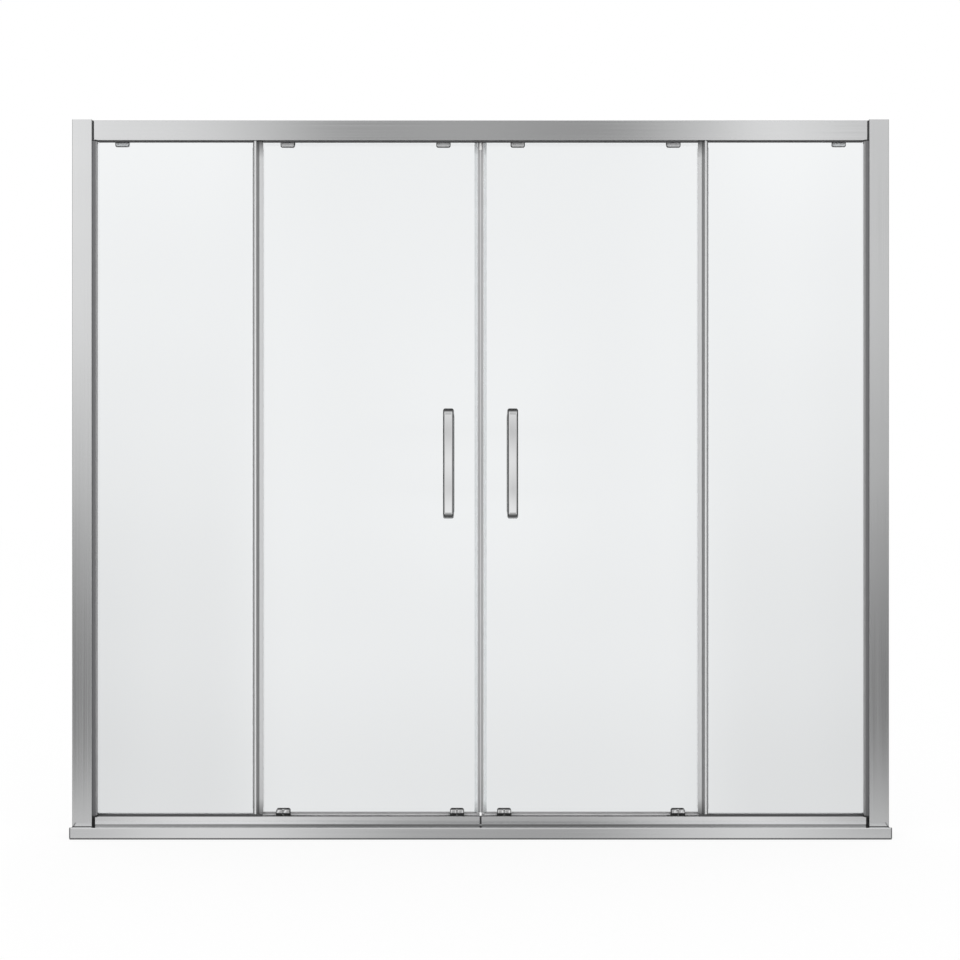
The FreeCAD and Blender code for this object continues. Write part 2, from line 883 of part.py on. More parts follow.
def outer_edge_seal(name, side):
    """Strip over the door's far edge, with a lip that closes on the fixed pane."""
    body = new_body(f"outer_edge_seal_{name}")
    lap = door_outer - S.outer_seal_lap
    lip = door_outer + S.fit
    far = door_outer + S.outer_seal_web
    corners = [
        (lap, seal_front),
        (lip, seal_front),
        (lip, fixed_back + S.fit),
        (far, fixed_back + S.fit),
        (far, seal_back),
        (lap, seal_back),
        (lap, door_back),
        (door_outer, door_back),
        (door_outer, door_front),
        (lap, door_front),
    ]
    pad(body, "Z", lip_low, lip_high, [mirrored(side, corners)])
    keep(body)


def handle(label, side, foot, out):
    """Flat bar bent back at both ends, on the outer (-1) or inner (1) face of the door."""
    body = new_body(label)
    end = S.handle_length / 2
    inner_end = end - S.handle_leg
    face = out * S.handle_reach
    grip = out * (S.handle_reach - S.handle_bar)
    side_face = S.handle_width / 2
    corners = [
        (ZERO, end),
        (face, end),
        (face, -end),
        (ZERO, -end),
        (ZERO, -inner_end),
        (grip, -inner_end),
        (grip, inner_end),
        (ZERO, inner_end),
    ]
    pad(body, "X", -side_face, side_face, [corners])
    hole = S.bolt_radius + S.hole_clearance
    low, high = (ZERO, S.bolt_bite) if out > 0 else (-S.bolt_bite, ZERO)
    cut(body, "Y", low, high, [], [(ZERO, z, hole) for z in (-bolt_reach, bolt_reach)])
    along_x = side_face.value
    round_edges(
        body,
        S.handle_outer_round,
        lambda a, b: abs(a.x - b.x) > along_x and near(a.y, face) and near(abs(a.z), end),
    )
    round_edges(
        body,
        S.handle_inner_round,
        lambda a, b: abs(a.x - b.x) > along_x and near(a.y, grip) and near(abs(a.z), inner_end),
    )
    round_edges(
        body,
        S.handle_edge_round,
        lambda a, b: near(abs(a.x), side_face)
        and abs(a.x - b.x) < along_x
        and not (near(a.y, ZERO) and near(b.y, ZERO)),
    )
    place(body, side * S.handle_x, foot, S.handle_z)
    keep(body)


def handle_fixings(name, side):
    """Bolts that join the two handles through the glass, with a washer on each face."""
    pieces = []
    x = side * S.handle_x
    hole = S.bolt_radius + S.hole_clearance
    for index, z in enumerate(bolt_heights):
        label = f"handle_bolt_{name}_{index}"
        bolt_low, bolt_high = outer_foot - S.bolt_bite, inner_foot + S.bolt_bite
        pieces.append(rod(label, S.bolt_radius, x, z, bolt_low, bolt_high))
        pieces.append(ring(f"{label}_outer_washer", S.washer_radius, hole, x, z, outer_foot, door_front))
        pieces.append(ring(f"{label}_inner_washer", S.washer_radius, hole, x, z, door_back, inner_foot))
    keep_group(f"handle_fixings_{name}", pieces)


# Rollers and guides

def top_carriages(name, side):
    """Saddles over the top edge of the door, each with a plate on both faces of the glass."""
    pieces = []
    rear_bottom = header_bottom - S.carriage_rear_drop
    corners = [
        (plate_front, carriage_bottom),
        (door_front, carriage_bottom),
        (door_front, door_top),
        (door_back, door_top),
        (door_back, rear_bottom),
        (plate_back, rear_bottom),
        (plate_back, carriage_top),
        (plate_front, carriage_top),
    ]
    holes = [
        (ZERO, clamp_screw_z, S.clamp_screw_radius + S.hole_clearance),
        (ZERO, top_axle_z, S.top_axle_radius + S.hole_clearance),
    ]
    for where, x in zip(PLACE_NAMES, carriage_places):
        body = new_body(f"top_carriage_{name}_{where}")
        pad(body, "X", -(S.carriage_width / 2), S.carriage_width / 2, [corners])
        cut(body, "Y", plate_front, plate_back, [], holes)
        round_edges(
            body,
            S.carriage_round,
            lambda a, b: near(a.z, carriage_bottom) and near(b.z, carriage_bottom) and abs(a.y - b.y) > 1,
        )
        round_outline(body, plate_front)
        place(body, side * x)
        pieces.append(body)
    keep_group(f"top_carriages_{name}", pieces)


def carriage_screws(name, side):
    pieces = []
    for where, x in zip(PLACE_NAMES, carriage_places):
        label = f"carriage_screw_{name}_{where}"
        pieces.append(rod(label, S.clamp_screw_radius, side * x, clamp_screw_z, plate_front, plate_back))
    keep_group(f"carriage_screws_{name}", pieces)


def headed_axle(label, radius, x, z, wheel_width):
    """Axle from the front plate through a wheel, with a head that keeps the wheel on."""
    shoulder = wheel_front + wheel_width + S.fit
    shank = rod(f"{label}_shank", radius, x, z, plate_front, shoulder)
    head = rod(f"{label}_head", radius + S.axle_head_lip, x, z, shoulder, shoulder + S.axle_head)
    return fused(label, shank, head)


def roller_axles(name, side):
    pieces = []
    for where, x in zip(PLACE_NAMES, carriage_places):
        label = f"top_axle_{name}_{where}"
        pieces.append(headed_axle(label, S.top_axle_radius, side * x, top_axle_z, S.top_wheel_width))
    for where, x in zip(PLACE_NAMES, guide_places):
        label = f"bottom_axle_{name}_{where}"
        pieces.append(headed_axle(label, S.bottom_axle_radius, side * x, bottom_axle_z, S.bottom_wheel_width))
    keep_group(f"roller_axles_{name}", pieces)


def wheel(label, x, z, radius, width, axle_radius):
    body = new_body(label)
    bore = axle_radius + S.axle_clearance
    pad(body, "Y", ZERO, width, [], [(ZERO, ZERO, radius), (ZERO, ZERO, bore)])
    round_edges(body, S.wheel_edge_round, lambda a, b: a == b and near(abs(a.x), radius))
    place(body, x, wheel_front, z)
    keep(body)


def wheels(name, side):
    for where, x in zip(PLACE_NAMES, carriage_places):
        label = f"top_wheel_{name}_{where}"
        wheel(label, side * x, top_axle_z, S.top_wheel_radius, S.top_wheel_width, S.top_axle_radius)
    for where, x in zip(PLACE_NAMES, guide_places):
        label = f"bottom_wheel_{name}_{where}"
        radius, width = S.bottom_wheel_radius, S.bottom_wheel_width
        wheel(label, side * x, bottom_axle_z, radius, width, S.bottom_axle_radius)


def bottom_guides(name, side):
    """Shoes on the bottom edge of the door that run inside the bottom rail."""
    pieces = []
    corners = [
        (plate_front, guide_bottom),
        (plate_back, guide_bottom),
        (plate_back, guide_top),
        (door_back, guide_top),
        (door_back, door_bottom),
        (door_front, door_bottom),
        (door_front, guide_top),
        (plate_front, guide_top),
    ]
    axle_hole = (ZERO, bottom_axle_z, S.bottom_axle_radius + S.hole_clearance)
    button_bore = (ZERO, button_z, S.button_radius + S.button_clearance)
    for where, x in zip(PLACE_NAMES, guide_places):
        body = new_body(f"bottom_guide_{name}_{where}")
        pad(body, "X", -(S.guide_width / 2), S.guide_width / 2, [corners])
        cut(body, "Y", plate_front, plate_back, [], [axle_hole])
        cut(body, "Y", plate_front, bore_back, [], [button_bore])
        round_edges(
            body,
            S.guide_round,
            lambda a, b: near(a.z, guide_top) and near(b.z, guide_top) and abs(a.y - b.y) > 1,
        )
        place(body, side * x)
        pieces.append(body)
    keep_group(f"bottom_guides_{name}", pieces)


def guide_covers(name, side):
    """Bright covers on the guides, each with two domed lobes above the release button."""
    pieces = []
    reach = S.guide_width / 2 - S.cover_margin
    low = button_z + S.button_radius + S.cover_margin
    high = guide_top - S.cover_margin
    base_front = plate_front - S.cover_base
    lobe_front = base_front - S.cover_lobe
    lobes = [
        rectangle(-reach, -(S.cover_lobe_gap / 2), low, high),
        rectangle(S.cover_lobe_gap / 2, reach, low, high),
    ]
    for where, x in zip(PLACE_NAMES, guide_places):
        body = new_body(f"guide_cover_{name}_{where}")
        pad(body, "Y", base_front, plate_front, [rectangle(-reach, reach, low, high)])
        pad(body, "Y", lobe_front, base_front, lobes)
        round_edges(body, S.cover_round, lambda a, b: near(a.y, lobe_front) and near(b.y, lobe_front))
        place(body, side * x)
        pieces.append(body)
    keep_group(f"guide_covers_{name}", pieces)


def release_buttons(name, side):
    """Sprung buttons that free the bottom rollers from the rail."""
    for where, x in zip(PLACE_NAMES, guide_places):
        body = new_body(f"release_button_{name}_{where}")
        pad(body, "Y", ZERO, S.button_length, [], [(ZERO, ZERO, S.button_radius)])
        round_edges(body, S.wheel_edge_round, lambda a, b: a == b and near(a.y, ZERO))
        place(body, side * x, button_front, button_z)
        keep(body)


def guide_springs(name, side):
    pieces = []
    inner = S.button_radius - S.spring_wire
    low = bore_back - S.spring_length
    for where, x in zip(PLACE_NAMES, guide_places):
        label = f"guide_spring_{name}_{where}"
        pieces.append(ring(label, S.button_radius, inner, side * x, button_z, low, bore_back))
    keep_group(f"guide_springs_{name}", pieces)


def build():
    header_rail()
    header_span = (header_bottom, S.overall_height)
    header_plug = (track_top, header_roof - S.fit)
    end_blocks("header_end_blocks", header_end, (stile_top, header_bottom), header_span, header_plug)
    rail_span = (S.sill_height, rail_top)
    rail_plug = (rail_floor, rail_top - S.rail_wall - S.fit)
    foot_span = (S.sill_height, jamb_bottom)
    end_blocks("rail_end_blocks", rail_end, (rail_top, stile_bottom), rail_span, rail_plug, foot_span)
    sill()
    sill_end_caps()
    glazing_gaskets()
    slot_infills()
    fixed_edge_profiles()
    fixed_edge_seals()
    header_stops()
    stop_bumpers()
    frame_screws()
    for name, side in SIDES:
        wall_jamb(name, side)
        inner_stile(name, side)
        bottom_rail(name, side)
        fixed_glass(name, side)
        door_glass(name, side)
        magnet_seal(name, side)
        magnet_strip(name, side)
        outer_edge_seal(name, side)
        handle(f"outer_handle_{name}", side, outer_foot, -1)
        handle(f"inner_handle_{name}", side, inner_foot, 1)
        handle_fixings(name, side)
        top_carriages(name, side)
        carriage_screws(name, side)
        roller_axles(name, side)
        wheels(name, side)
        bottom_guides(name, side)
        guide_covers(name, side)
        release_buttons(name, side)
        guide_springs(name, side)
    doc.recompute()


def write_parts():
    for piece in doc.Objects:
        if {"Invalid", "Error"} & set(piece.State):
            raise RuntimeError(f"{piece.Label} failed to build: {piece.State}")
    for label, piece in nodes.items():
        if piece.Shape.isNull() or not piece.Shape.isValid():
            raise RuntimeError(f"{label} has no valid shape")
    os.makedirs("parts", exist_ok=True)
    for label, piece in nodes.items():
        piece.Shape.exportStep(f"parts/{label}.step")


build()
write_parts()
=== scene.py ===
"""Finishes, eased edges, small fittings and studio for a four-panel sliding shower door."""

import json
import math

import bmesh
import bpy
from bpy.props import FloatProperty, FloatVectorProperty, IntProperty, PointerProperty
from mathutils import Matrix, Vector

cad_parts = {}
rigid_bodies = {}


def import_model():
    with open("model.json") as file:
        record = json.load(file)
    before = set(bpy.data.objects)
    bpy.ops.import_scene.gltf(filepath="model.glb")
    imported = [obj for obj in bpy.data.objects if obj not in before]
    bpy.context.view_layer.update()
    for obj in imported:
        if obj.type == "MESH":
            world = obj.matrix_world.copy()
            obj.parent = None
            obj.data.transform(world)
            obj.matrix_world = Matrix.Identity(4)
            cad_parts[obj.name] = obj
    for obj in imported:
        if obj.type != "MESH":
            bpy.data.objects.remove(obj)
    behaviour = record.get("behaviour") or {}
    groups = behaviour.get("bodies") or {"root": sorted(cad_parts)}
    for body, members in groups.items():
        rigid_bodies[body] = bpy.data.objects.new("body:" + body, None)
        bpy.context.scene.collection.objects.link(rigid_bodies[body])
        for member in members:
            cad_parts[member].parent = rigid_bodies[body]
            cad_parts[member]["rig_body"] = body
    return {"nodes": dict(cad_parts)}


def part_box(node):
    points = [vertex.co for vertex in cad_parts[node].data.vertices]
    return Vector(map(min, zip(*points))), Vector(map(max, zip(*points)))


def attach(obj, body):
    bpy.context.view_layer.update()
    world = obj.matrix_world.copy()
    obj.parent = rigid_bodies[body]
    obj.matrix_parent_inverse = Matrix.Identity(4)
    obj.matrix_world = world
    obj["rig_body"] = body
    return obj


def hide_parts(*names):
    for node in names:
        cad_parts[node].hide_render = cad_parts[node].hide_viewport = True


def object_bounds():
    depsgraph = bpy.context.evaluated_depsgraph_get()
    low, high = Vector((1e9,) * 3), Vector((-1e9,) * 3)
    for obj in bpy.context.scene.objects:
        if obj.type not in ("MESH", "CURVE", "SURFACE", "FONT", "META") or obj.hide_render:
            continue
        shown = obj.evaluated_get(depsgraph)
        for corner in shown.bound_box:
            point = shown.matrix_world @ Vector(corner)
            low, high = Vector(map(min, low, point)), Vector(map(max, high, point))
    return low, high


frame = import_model()
CAD_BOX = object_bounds()

bl_info = {
    "name": "Sliding shower door",
    "version": (1, 0, 0),
    "blender": (4, 5, 0),
    "location": "View3D > Sidebar > Shower Door",
    "description": "Finishes a four-panel sliding shower door and sets its studio",
    "category": "Object",
}

SIDES = ("left", "right")
PLACES = ("outer", "inner")
CAD_NODES = frame["nodes"]


def length(name, description, default):
    return FloatProperty(
        name=name, description=description, default=default, min=0.0, unit="LENGTH", precision=5
    )


def colour(name, description, default):
    return FloatVectorProperty(
        name=name, description=description, default=default, size=3, min=0.0, max=1.0, subtype="COLOR"
    )


def share(name, description, default):
    return FloatProperty(
        name=name, description=description, default=default, min=0.0, max=1.0, subtype="FACTOR"
    )


class DoorTrim(bpy.types.PropertyGroup):
    """Sizes of the eased edges and of the small fittings."""

    glass_arris: length("Glass arris", "Width of the ground edge round each pane", 0.0007)
    metal_ease: length("Metal ease", "Rounding of sharp metal edges", 0.0005)
    rubber_ease: length("Rubber ease", "Rounding of gaskets and bumpers", 0.0008)
    plastic_ease: length("Plastic ease", "Rounding of moulded plastic edges", 0.0006)
    seal_ease: length("Seal ease", "Rounding of the clear seals", 0.0004)
    seal_shrink: length("Seal shrink", "Space left between a clear seal and the glass", 0.00004)
    # Past this bead the stile carries painted shade
    stile_bead: length("Stile bead", "Width of the light bead along the stile's free edge", 0.0025)
    # The groove's darkness over this height is painted shade
    rail_groove: length("Rail groove", "Height of the shaded groove at the bottom rail's foot", 0.0028)
    edge_metal: length("Edge metal", "Width of the metal on a fixed edge, before its vinyl tip", 0.0132)
    strip_rise: length("Strip rise", "How far a drip strip laps up the door glass", 0.0006)
    strip_drop: length("Strip drop", "How far a drip strip hangs below the door glass", 0.0051)
    # The pale lip over this height is a painted highlight
    strip_lip: length("Strip lip", "Height of the pale lip along a drip strip's foot", 0.002)
    strip_wall: length("Strip wall", "Thickness of a drip strip", 0.0008)
    strip_gap: length("Strip gap", "Space between a drip strip and what stands beside it", 0.0006)
    strip_inset: length("Strip inset", "How far a drip strip stops short of the door's far edge", 0.002)
    guide_width: length("Guide width", "Width of a bottom guide's shoe", 0.0294)
    cover_width: length("Cover width", "Width of a guide's two-lobed cover", 0.0282)
    cover_base: length("Cover base", "Thickness of the plate under the lobes", 0.0008)
    cover_parting: length("Cover parting", "Space between the two lobes", 0.0006)
    tyre: length("Tyre", "Depth of a roller's tyre", 0.0022)
    hub_recess: length("Hub recess", "How far a roller's web lies below its tyre", 0.0009)
    hub_ring: length("Hub ring", "Width of the ring round a roller's bore", 0.0012)
    top_bore: length("Top bore", "Radius of the bore of a top roller", 0.00255)
    bottom_bore: length("Bottom bore", "Radius of the bore of a bottom roller", 0.00205)
    screw_radius: length("Screw radius", "Radius of a frame screw's shank", 0.002)
    screw_head: length("Screw head", "Radius of a frame screw's pan head", 0.004)
    screw_head_height: length("Screw head height", "Height of a frame screw's pan head", 0.0022)
    screw_spacing: length("Screw spacing", "Height between the jamb screws", 0.6)
    stop_place: length("Stop place", "Distance of each stop's screw from the middle", 0.751)
    roller_sides: IntProperty(name="Roller sides", description="Faces round a roller", default=64, min=16)


class DoorFinish(bpy.types.PropertyGroup):
    """Colours and surface values of the materials."""

    aluminium: colour("Aluminium", "Bright anodised aluminium of the frame", (0.80, 0.805, 0.81))
    aluminium_roughness: share("Aluminium roughness", "Roughness of the bright aluminium", 0.12)
    rail: colour("Bottom rail", "Bright aluminium of the bottom rail", (0.87, 0.875, 0.88))
    # Matt inside finish, made pale as painted light against the channel's shade
    rail_inside_painted_light: colour("Rail inside", "Matt aluminium inside the bottom rail", (0.90, 0.90, 0.905))
    # Painted shade: a darker copy of the stile's satin aluminium, for its recess in the jamb's shade
    stile_painted_shade: colour("Stile shade", "Satin aluminium in the stile's recess", (0.17, 0.17, 0.175))
    stile_light: colour("Stile face", "Satin aluminium on the stile's bead", (0.40, 0.40, 0.405))
    chrome: colour("Chrome", "Bright metal of the fittings", (0.86, 0.865, 0.87))
    chrome_roughness: share("Chrome roughness", "Roughness of the bright fittings", 0.04)
    fitting: colour("Fittings", "Satin plated carriages", (0.80, 0.805, 0.81))
    stop: colour("Stops", "Satin plated stops under the header", (0.95, 0.955, 0.96))
    steel: colour("Steel", "Screws, axles and springs", (0.56, 0.565, 0.57))
    glass: colour("Glass", "Tint of the panes seen through their faces", (0.952, 0.968, 0.976))
    glass_edge: colour("Glass edge", "Tint of the panes at their edges", (0.50, 0.66, 0.62))
    rubber: colour("Rubber", "Gaskets, infills and bumpers", (0.075, 0.075, 0.077))
    black_plastic: colour("Black plastic", "End blocks and guides", (0.026, 0.026, 0.027))
    grey_plastic: colour("Grey plastic", "End caps of the sill", (0.13, 0.13, 0.135))
    white_plastic: colour("White plastic", "Upper end plugs of the magnets", (0.86, 0.86, 0.85))
    lower_plug: colour("Lower plugs", "Grey end plugs at the magnets' foot", (0.38, 0.38, 0.385))
    seal: colour("Seal", "Clear vinyl of the door seals", (0.955, 0.965, 0.97))
    lip: colour("Lip", "Vinyl tip of the fixed edges", (0.60, 0.605, 0.61))
    magnet: colour("Magnet", "Magnet strips in the meeting seals", (0.37, 0.37, 0.375))
    drip_strip: colour("Drip strip", "Smoked vinyl along the doors' lower edges", (0.42, 0.42, 0.425))
    # Painted highlight: the pale lip along the strips' foot stands in for a lit edge
    drip_lip_painted_highlight: colour("Drip lip", "Pale lip of the drip strips", (0.86, 0.86, 0.865))
    nylon: colour("Nylon", "Rollers", (0.72, 0.71, 0.68))


class DoorStudio(bpy.types.PropertyGroup):
    """Camera, lamps and floor."""

    camera_place: FloatVectorProperty(
        name="Camera", description="Where the camera stands", default=(-0.0012, -3.418, 0.7435), unit="LENGTH"
    )
    camera_lens: FloatProperty(
        name="Lens", description="Focal length of the camera", default=61.27, min=1.0, unit="CAMERA"
    )
    floor_size: length("Floor size", "Side of the square floor", 40.0)
    floor: colour("Floor", "Colour of the floor", (0.985, 0.985, 0.985))
    floor_white: share("Floor white", "How far the floor is washed out to white in the picture", 0.88)
    key_power: FloatProperty(name="Key", description="Power of the key lamp", default=16.0, unit="POWER")
    fill_power: FloatProperty(name="Fill", description="Power of the fill lamp", default=8.0, unit="POWER")
    lamp_size: length("Lamp size", "Side of each square lamp", 2.5)


# Node trees


class Graph:
    """Adds nodes to a tree and links them."""

    def __init__(self, tree):
        self.tree = tree
        self.shader = tree.nodes.get("Principled BSDF")

    def set(self, **values):
        """Sets or links the shader's sockets by name, with _ for a space."""
        for key, value in values.items():
            self.feed(self.shader.inputs[key.replace("_", " ")], value)

    def fed_by(self, name):
        """The socket that is linked to one of the shader's sockets."""
        return self.shader.inputs[name].links[0].from_socket

    def add(self, kind, **options):
        node = self.tree.nodes.new(kind)
        for key, value in options.items():
            setattr(node, key, value)
        return node

    def feed(self, socket, value):
        """Links a socket to another one, or sets its value. A colour is set opaque."""
        if isinstance(value, bpy.types.NodeSocket):
            self.tree.links.new(value, socket)
        elif socket.type == "RGBA":
            socket.default_value = (*value, 1.0)
        else:
            socket.default_value = value

    def math(self, operation, first, second=0.0):
        node = self.add("ShaderNodeMath", operation=operation)
        self.feed(node.inputs[0], first)
        self.feed(node.inputs[1], second)
        return node.outputs[0]

    def spread(self, value, low, high, to_low=0.0, to_high=1.0, smooth=False):
        """Maps value from low..high to to_low..to_high, held at both ends."""
        node = self.add("ShaderNodeMapRange", clamp=True)
        if smooth:
            node.interpolation_type = "SMOOTHSTEP"
        for socket, item in zip(node.inputs, (value, low, high, to_low, to_high)):
            self.feed(socket, item)
        return node.outputs[0]

    def ramp(self, factor, stops, interpolation="EASE"):
        """Grey ramp over (place, level) stops."""
        node = self.add("ShaderNodeValToRGB")
        ramp = node.color_ramp
        ramp.interpolation = interpolation
        ramp.elements.remove(ramp.elements[1])
        for index, (place, level) in enumerate(stops):
            element = ramp.elements[0] if index == 0 else ramp.elements.new(place)
            element.position = place
            element.color = (level, level, level, 1.0)
        self.feed(node.inputs[0], factor)
        return node.outputs[0]

    def mix(self, factor, first, second):
        node = self.add("ShaderNodeMix", data_type="RGBA")
        for index, item in ((0, factor), (6, first), (7, second)):
            self.feed(node.inputs[index], item)
        return node.outputs[2]

    def blend(self, factor, first, second):
        """Mix of two plain numbers."""
        node = self.add("ShaderNodeMix", data_type="FLOAT")
        for index, item in ((0, factor), (2, first), (3, second)):
            self.feed(node.inputs[index], item)
        return node.outputs[0]

    def dim(self, level, mask, amount):
        """Takes level down by amount where mask is 1."""
        return self.math("MULTIPLY", level, self.math("SUBTRACT", 1.0, self.math("MULTIPLY", mask, amount)))

    def scaled(self, tint, factor):
        node = self.add("ShaderNodeVectorMath", operation="SCALE")
        self.feed(node.inputs[0], tint)
        self.feed(node.inputs["Scale"], factor)
        return node.outputs[0]

    def place(self, stretch=(1.0, 1.0, 1.0)):
        """Object coordinates, stretched."""
        coordinates = self.add("ShaderNodeTexCoord")
        mapping = self.add("ShaderNodeMapping")
        self.feed(mapping.inputs["Vector"], coordinates.outputs["Object"])
        mapping.inputs["Scale"].default_value = stretch
        return mapping.outputs[0]

    def facing(self):
        """1 where the surface faces the front or the back, 0 where it lies square to them."""
        normal = self.add("ShaderNodeTexCoord").outputs["Normal"]
        return self.math("ABSOLUTE", self.axes(normal)[1])

    def from_middle(self):
        """Distance along X from the door's middle."""
        return self.math("ABSOLUTE", self.axes(self.place())[0])

    def from_ends(self, ends):
        """Distance along Z to the nearer of two heights."""
        height = self.axes(self.place())[2]
        from_low = self.math("SUBTRACT", height, ends[0])
        return self.math("MINIMUM", from_low, self.math("SUBTRACT", ends[1], height))

    def axes(self, vector):
        node = self.add("ShaderNodeSeparateXYZ")
        self.feed(node.inputs[0], vector)
        return node.outputs

    def noise(self, vector, scale, detail=2.0):
        node = self.add("ShaderNodeTexNoise")
        self.feed(node.inputs["Vector"], vector)
        node.inputs["Scale"].default_value = scale
        node.inputs["Detail"].default_value = detail
        return node.outputs[0]

    def streaks(self, stretch, detail=3.0):
        """Noise drawn out along an axis."""
        return self.noise(self.place(stretch), 1.0, detail)

    def waver(self, noise, span, amount, level=1.0):
        """The level, more or less by a share of it, as the noise goes through its span."""
        return self.spread(noise, *span, level * (1.0 - amount), level * (1.0 + amount))

    def bump(self, height, strength, distance):
        node = self.add("ShaderNodeBump")
        node.inputs["Strength"].default_value = strength
        node.inputs["Distance"].default_value = distance
        self.feed(node.inputs["Height"], height)
        return node.outputs[0]


def start_material(name):
    material = bpy.data.materials.new(name)
    material.use_nodes = True
    return material, Graph(material.node_tree)


# Materials

# Stretch of the noise along each axis: fine lines, and broad wipe marks
ALONG_X = (2.0, 1400.0, 1400.0)
ALONG_Z = (1400.0, 1400.0, 2.0)
VINYL_LINES = (2200.0, 2200.0, 3.0)
WIPE_MARKS = (40.0, 40.0, 12.0)

# Spans that hold nearly all the values of a noise
LINE_SPAN = (0.25, 0.75)
CLOUD_SPAN = (0.3, 0.7)

# Depths of the bump, in metres
FINE_BUMP = 0.0001
SOFT_BUMP = 0.0002

# Where a plated face counts as a flank, as leaning away and, as a share of the rest, as a front
FLANK_END = 0.1
RIM_START = 0.3
FRONT_SHARE = 0.9


def brushed(name, tint, roughness, stretch):
    """Metal with fine lines along one axis and a faint cloudiness."""
    material, graph = start_material(name)
    lines = graph.streaks(stretch)
    clouds = graph.noise(graph.place(), scale=5.0)
    grain = graph.waver(lines, LINE_SPAN, amount=0.035)
    tone = graph.math("MULTIPLY", grain, graph.waver(clouds, CLOUD_SPAN, amount=0.015))
    graph.set(
        Base_Color=graph.scaled(tint, tone),
        Metallic=1.0,
        Roughness=graph.waver(lines, LINE_SPAN, amount=0.2, level=roughness),
        Normal=graph.bump(lines, 0.025, FINE_BUMP),
    )
    return material


def polished(name, tint, roughness, rim_shade=1.0, turn=0.7, metallic=1.0, flank=1.0):
    """Plated metal with faint wipe marks, which keeps its tint on faces to the front.

    Where it leans away from the front past turn, its tint is darkened as a painted dark reflection on its
    rounded edges; the faces square to the front take their own factor, a painted shade where it is below one.
    """
    material, graph = start_material(name)
    smears = graph.streaks(WIPE_MARKS, detail=4.0)
    pits = graph.noise(graph.place(), scale=900.0)
    front = turn + FRONT_SHARE * (1.0 - turn)
    tones = ((0.0, flank), (FLANK_END, flank), (RIM_START, rim_shade), (turn, rim_shade), (front, 1.0))
    # Painted shade: the ramp darkens the faces that lean away from the front, as dark reflections on rounded
    # edges, and the faces square to it
    edge = graph.ramp(graph.facing(), tones, "LINEAR")
    tone = graph.math("MULTIPLY", graph.spread(smears, *CLOUD_SPAN, to_low=0.97, to_high=1.02), edge)
    graph.set(
        Base_Color=graph.scaled(tint, tone),
        Metallic=metallic,
        Specular_IOR_Level=0.1,
        Roughness=graph.spread(smears, *CLOUD_SPAN, to_low=roughness * 0.75, to_high=roughness * 1.3),
        Normal=graph.bump(pits, 0.02, FINE_BUMP),
    )
    return material


def rail_metal(name, tint, inside, roughness, groove_top, depth):
    """Brushed metal along X, with painted shade in the groove at its foot, and matt within its depth, where a
    pale tone is painted light against the channel's shade.
    """
    groove_edge = (groove_top - 0.0006, groove_top + 0.0002)
    painted_groove_shade = 0.42
    front_wall = (depth[0] + 0.0012, depth[0] + 0.0018)
    back_wall = (depth[1] - 0.001, depth[1] - 0.0004)
    inside_roughness = 0.6
    material = brushed(name, tint, roughness, ALONG_X)
    graph = Graph(material.node_tree)
    _, along, height = graph.axes(graph.place())
    # Painted shade: the groove at the rail's foot is darkened
    shade = graph.spread(height, *groove_edge, painted_groove_shade, 1.0)
    before_back = graph.spread(along, *back_wall, 1.0, 0.0)
    # Painted light: inside the channel the metal turns pale and matt, which lifts its shade
    within = graph.math("MULTIPLY", graph.spread(along, *front_wall), before_back)
    graph.set(
        Base_Color=graph.mix(within, graph.scaled(graph.fed_by("Base Color"), shade), inside),
        Metallic=graph.math("SUBTRACT", 1.0, within),
        Roughness=graph.blend(within, graph.fed_by("Roughness"), inside_roughness),
    )
    return material


def stile_metal(name, dark, light, bead_end):
    """Satin metal whose stretch past its bead is darkened as painted shade from the jamb."""
    bead_edge = (bead_end - 0.0003, bead_end + 0.0005)
    material, graph = start_material(name)
    lines = graph.streaks(ALONG_Z)
    # Painted shade: past the bead the tone turns to the darker copy
    tone = graph.mix(graph.spread(graph.from_middle(), *bead_edge), light, dark)
    graph.set(
        Base_Color=graph.scaled(tone, graph.waver(lines, LINE_SPAN, amount=0.06)),
        Metallic=0.35,
        Roughness=graph.waver(lines, LINE_SPAN, amount=0.125, level=0.48),
        Normal=graph.bump(lines, 0.05, FINE_BUMP),
    )
    return material


def edge_metal(name, metal, lip, roughness, tip, ends):
    """Edge profile: bright metal with a vinyl tip along its slanted nose, with painted shade on the nose near
    the rails and a painted highlight on its front face.
    """
    tip_edge = (tip - 0.0004, tip + 0.0004)
    painted_end_shade = (0.002, 0.036)
    lip_roughness = 0.45
    material, graph = start_material(name)
    lines = graph.streaks(ALONG_Z)
    is_metal = graph.spread(graph.from_middle(), *tip_edge)
    facing = graph.facing()
    nose = graph.spread(facing, low=0.88, high=0.95, to_low=1.0, to_high=0.0)
    # Painted shade: the slanted faces darken near the header and the bottom rail
    shade = graph.blend(nose, 1.0, graph.spread(graph.from_ends(ends), *painted_end_shade, to_low=0.36))
    # Painted highlight and shade: the face to the front is brightened past the metal's tint, the faces turned
    # away are darkened
    plate = graph.scaled(metal, graph.spread(facing, low=0.88, high=1.0, to_low=0.74, to_high=1.17))
    tone = graph.scaled(graph.mix(is_metal, lip, plate), shade)
    graph.set(
        Base_Color=graph.scaled(tone, graph.waver(lines, LINE_SPAN, amount=0.035)),
        Metallic=graph.math("MULTIPLY", is_metal, 0.7),
        Roughness=graph.blend(is_metal, lip_roughness, roughness),
        Normal=graph.bump(lines, 0.05, FINE_BUMP),
    )
    return material


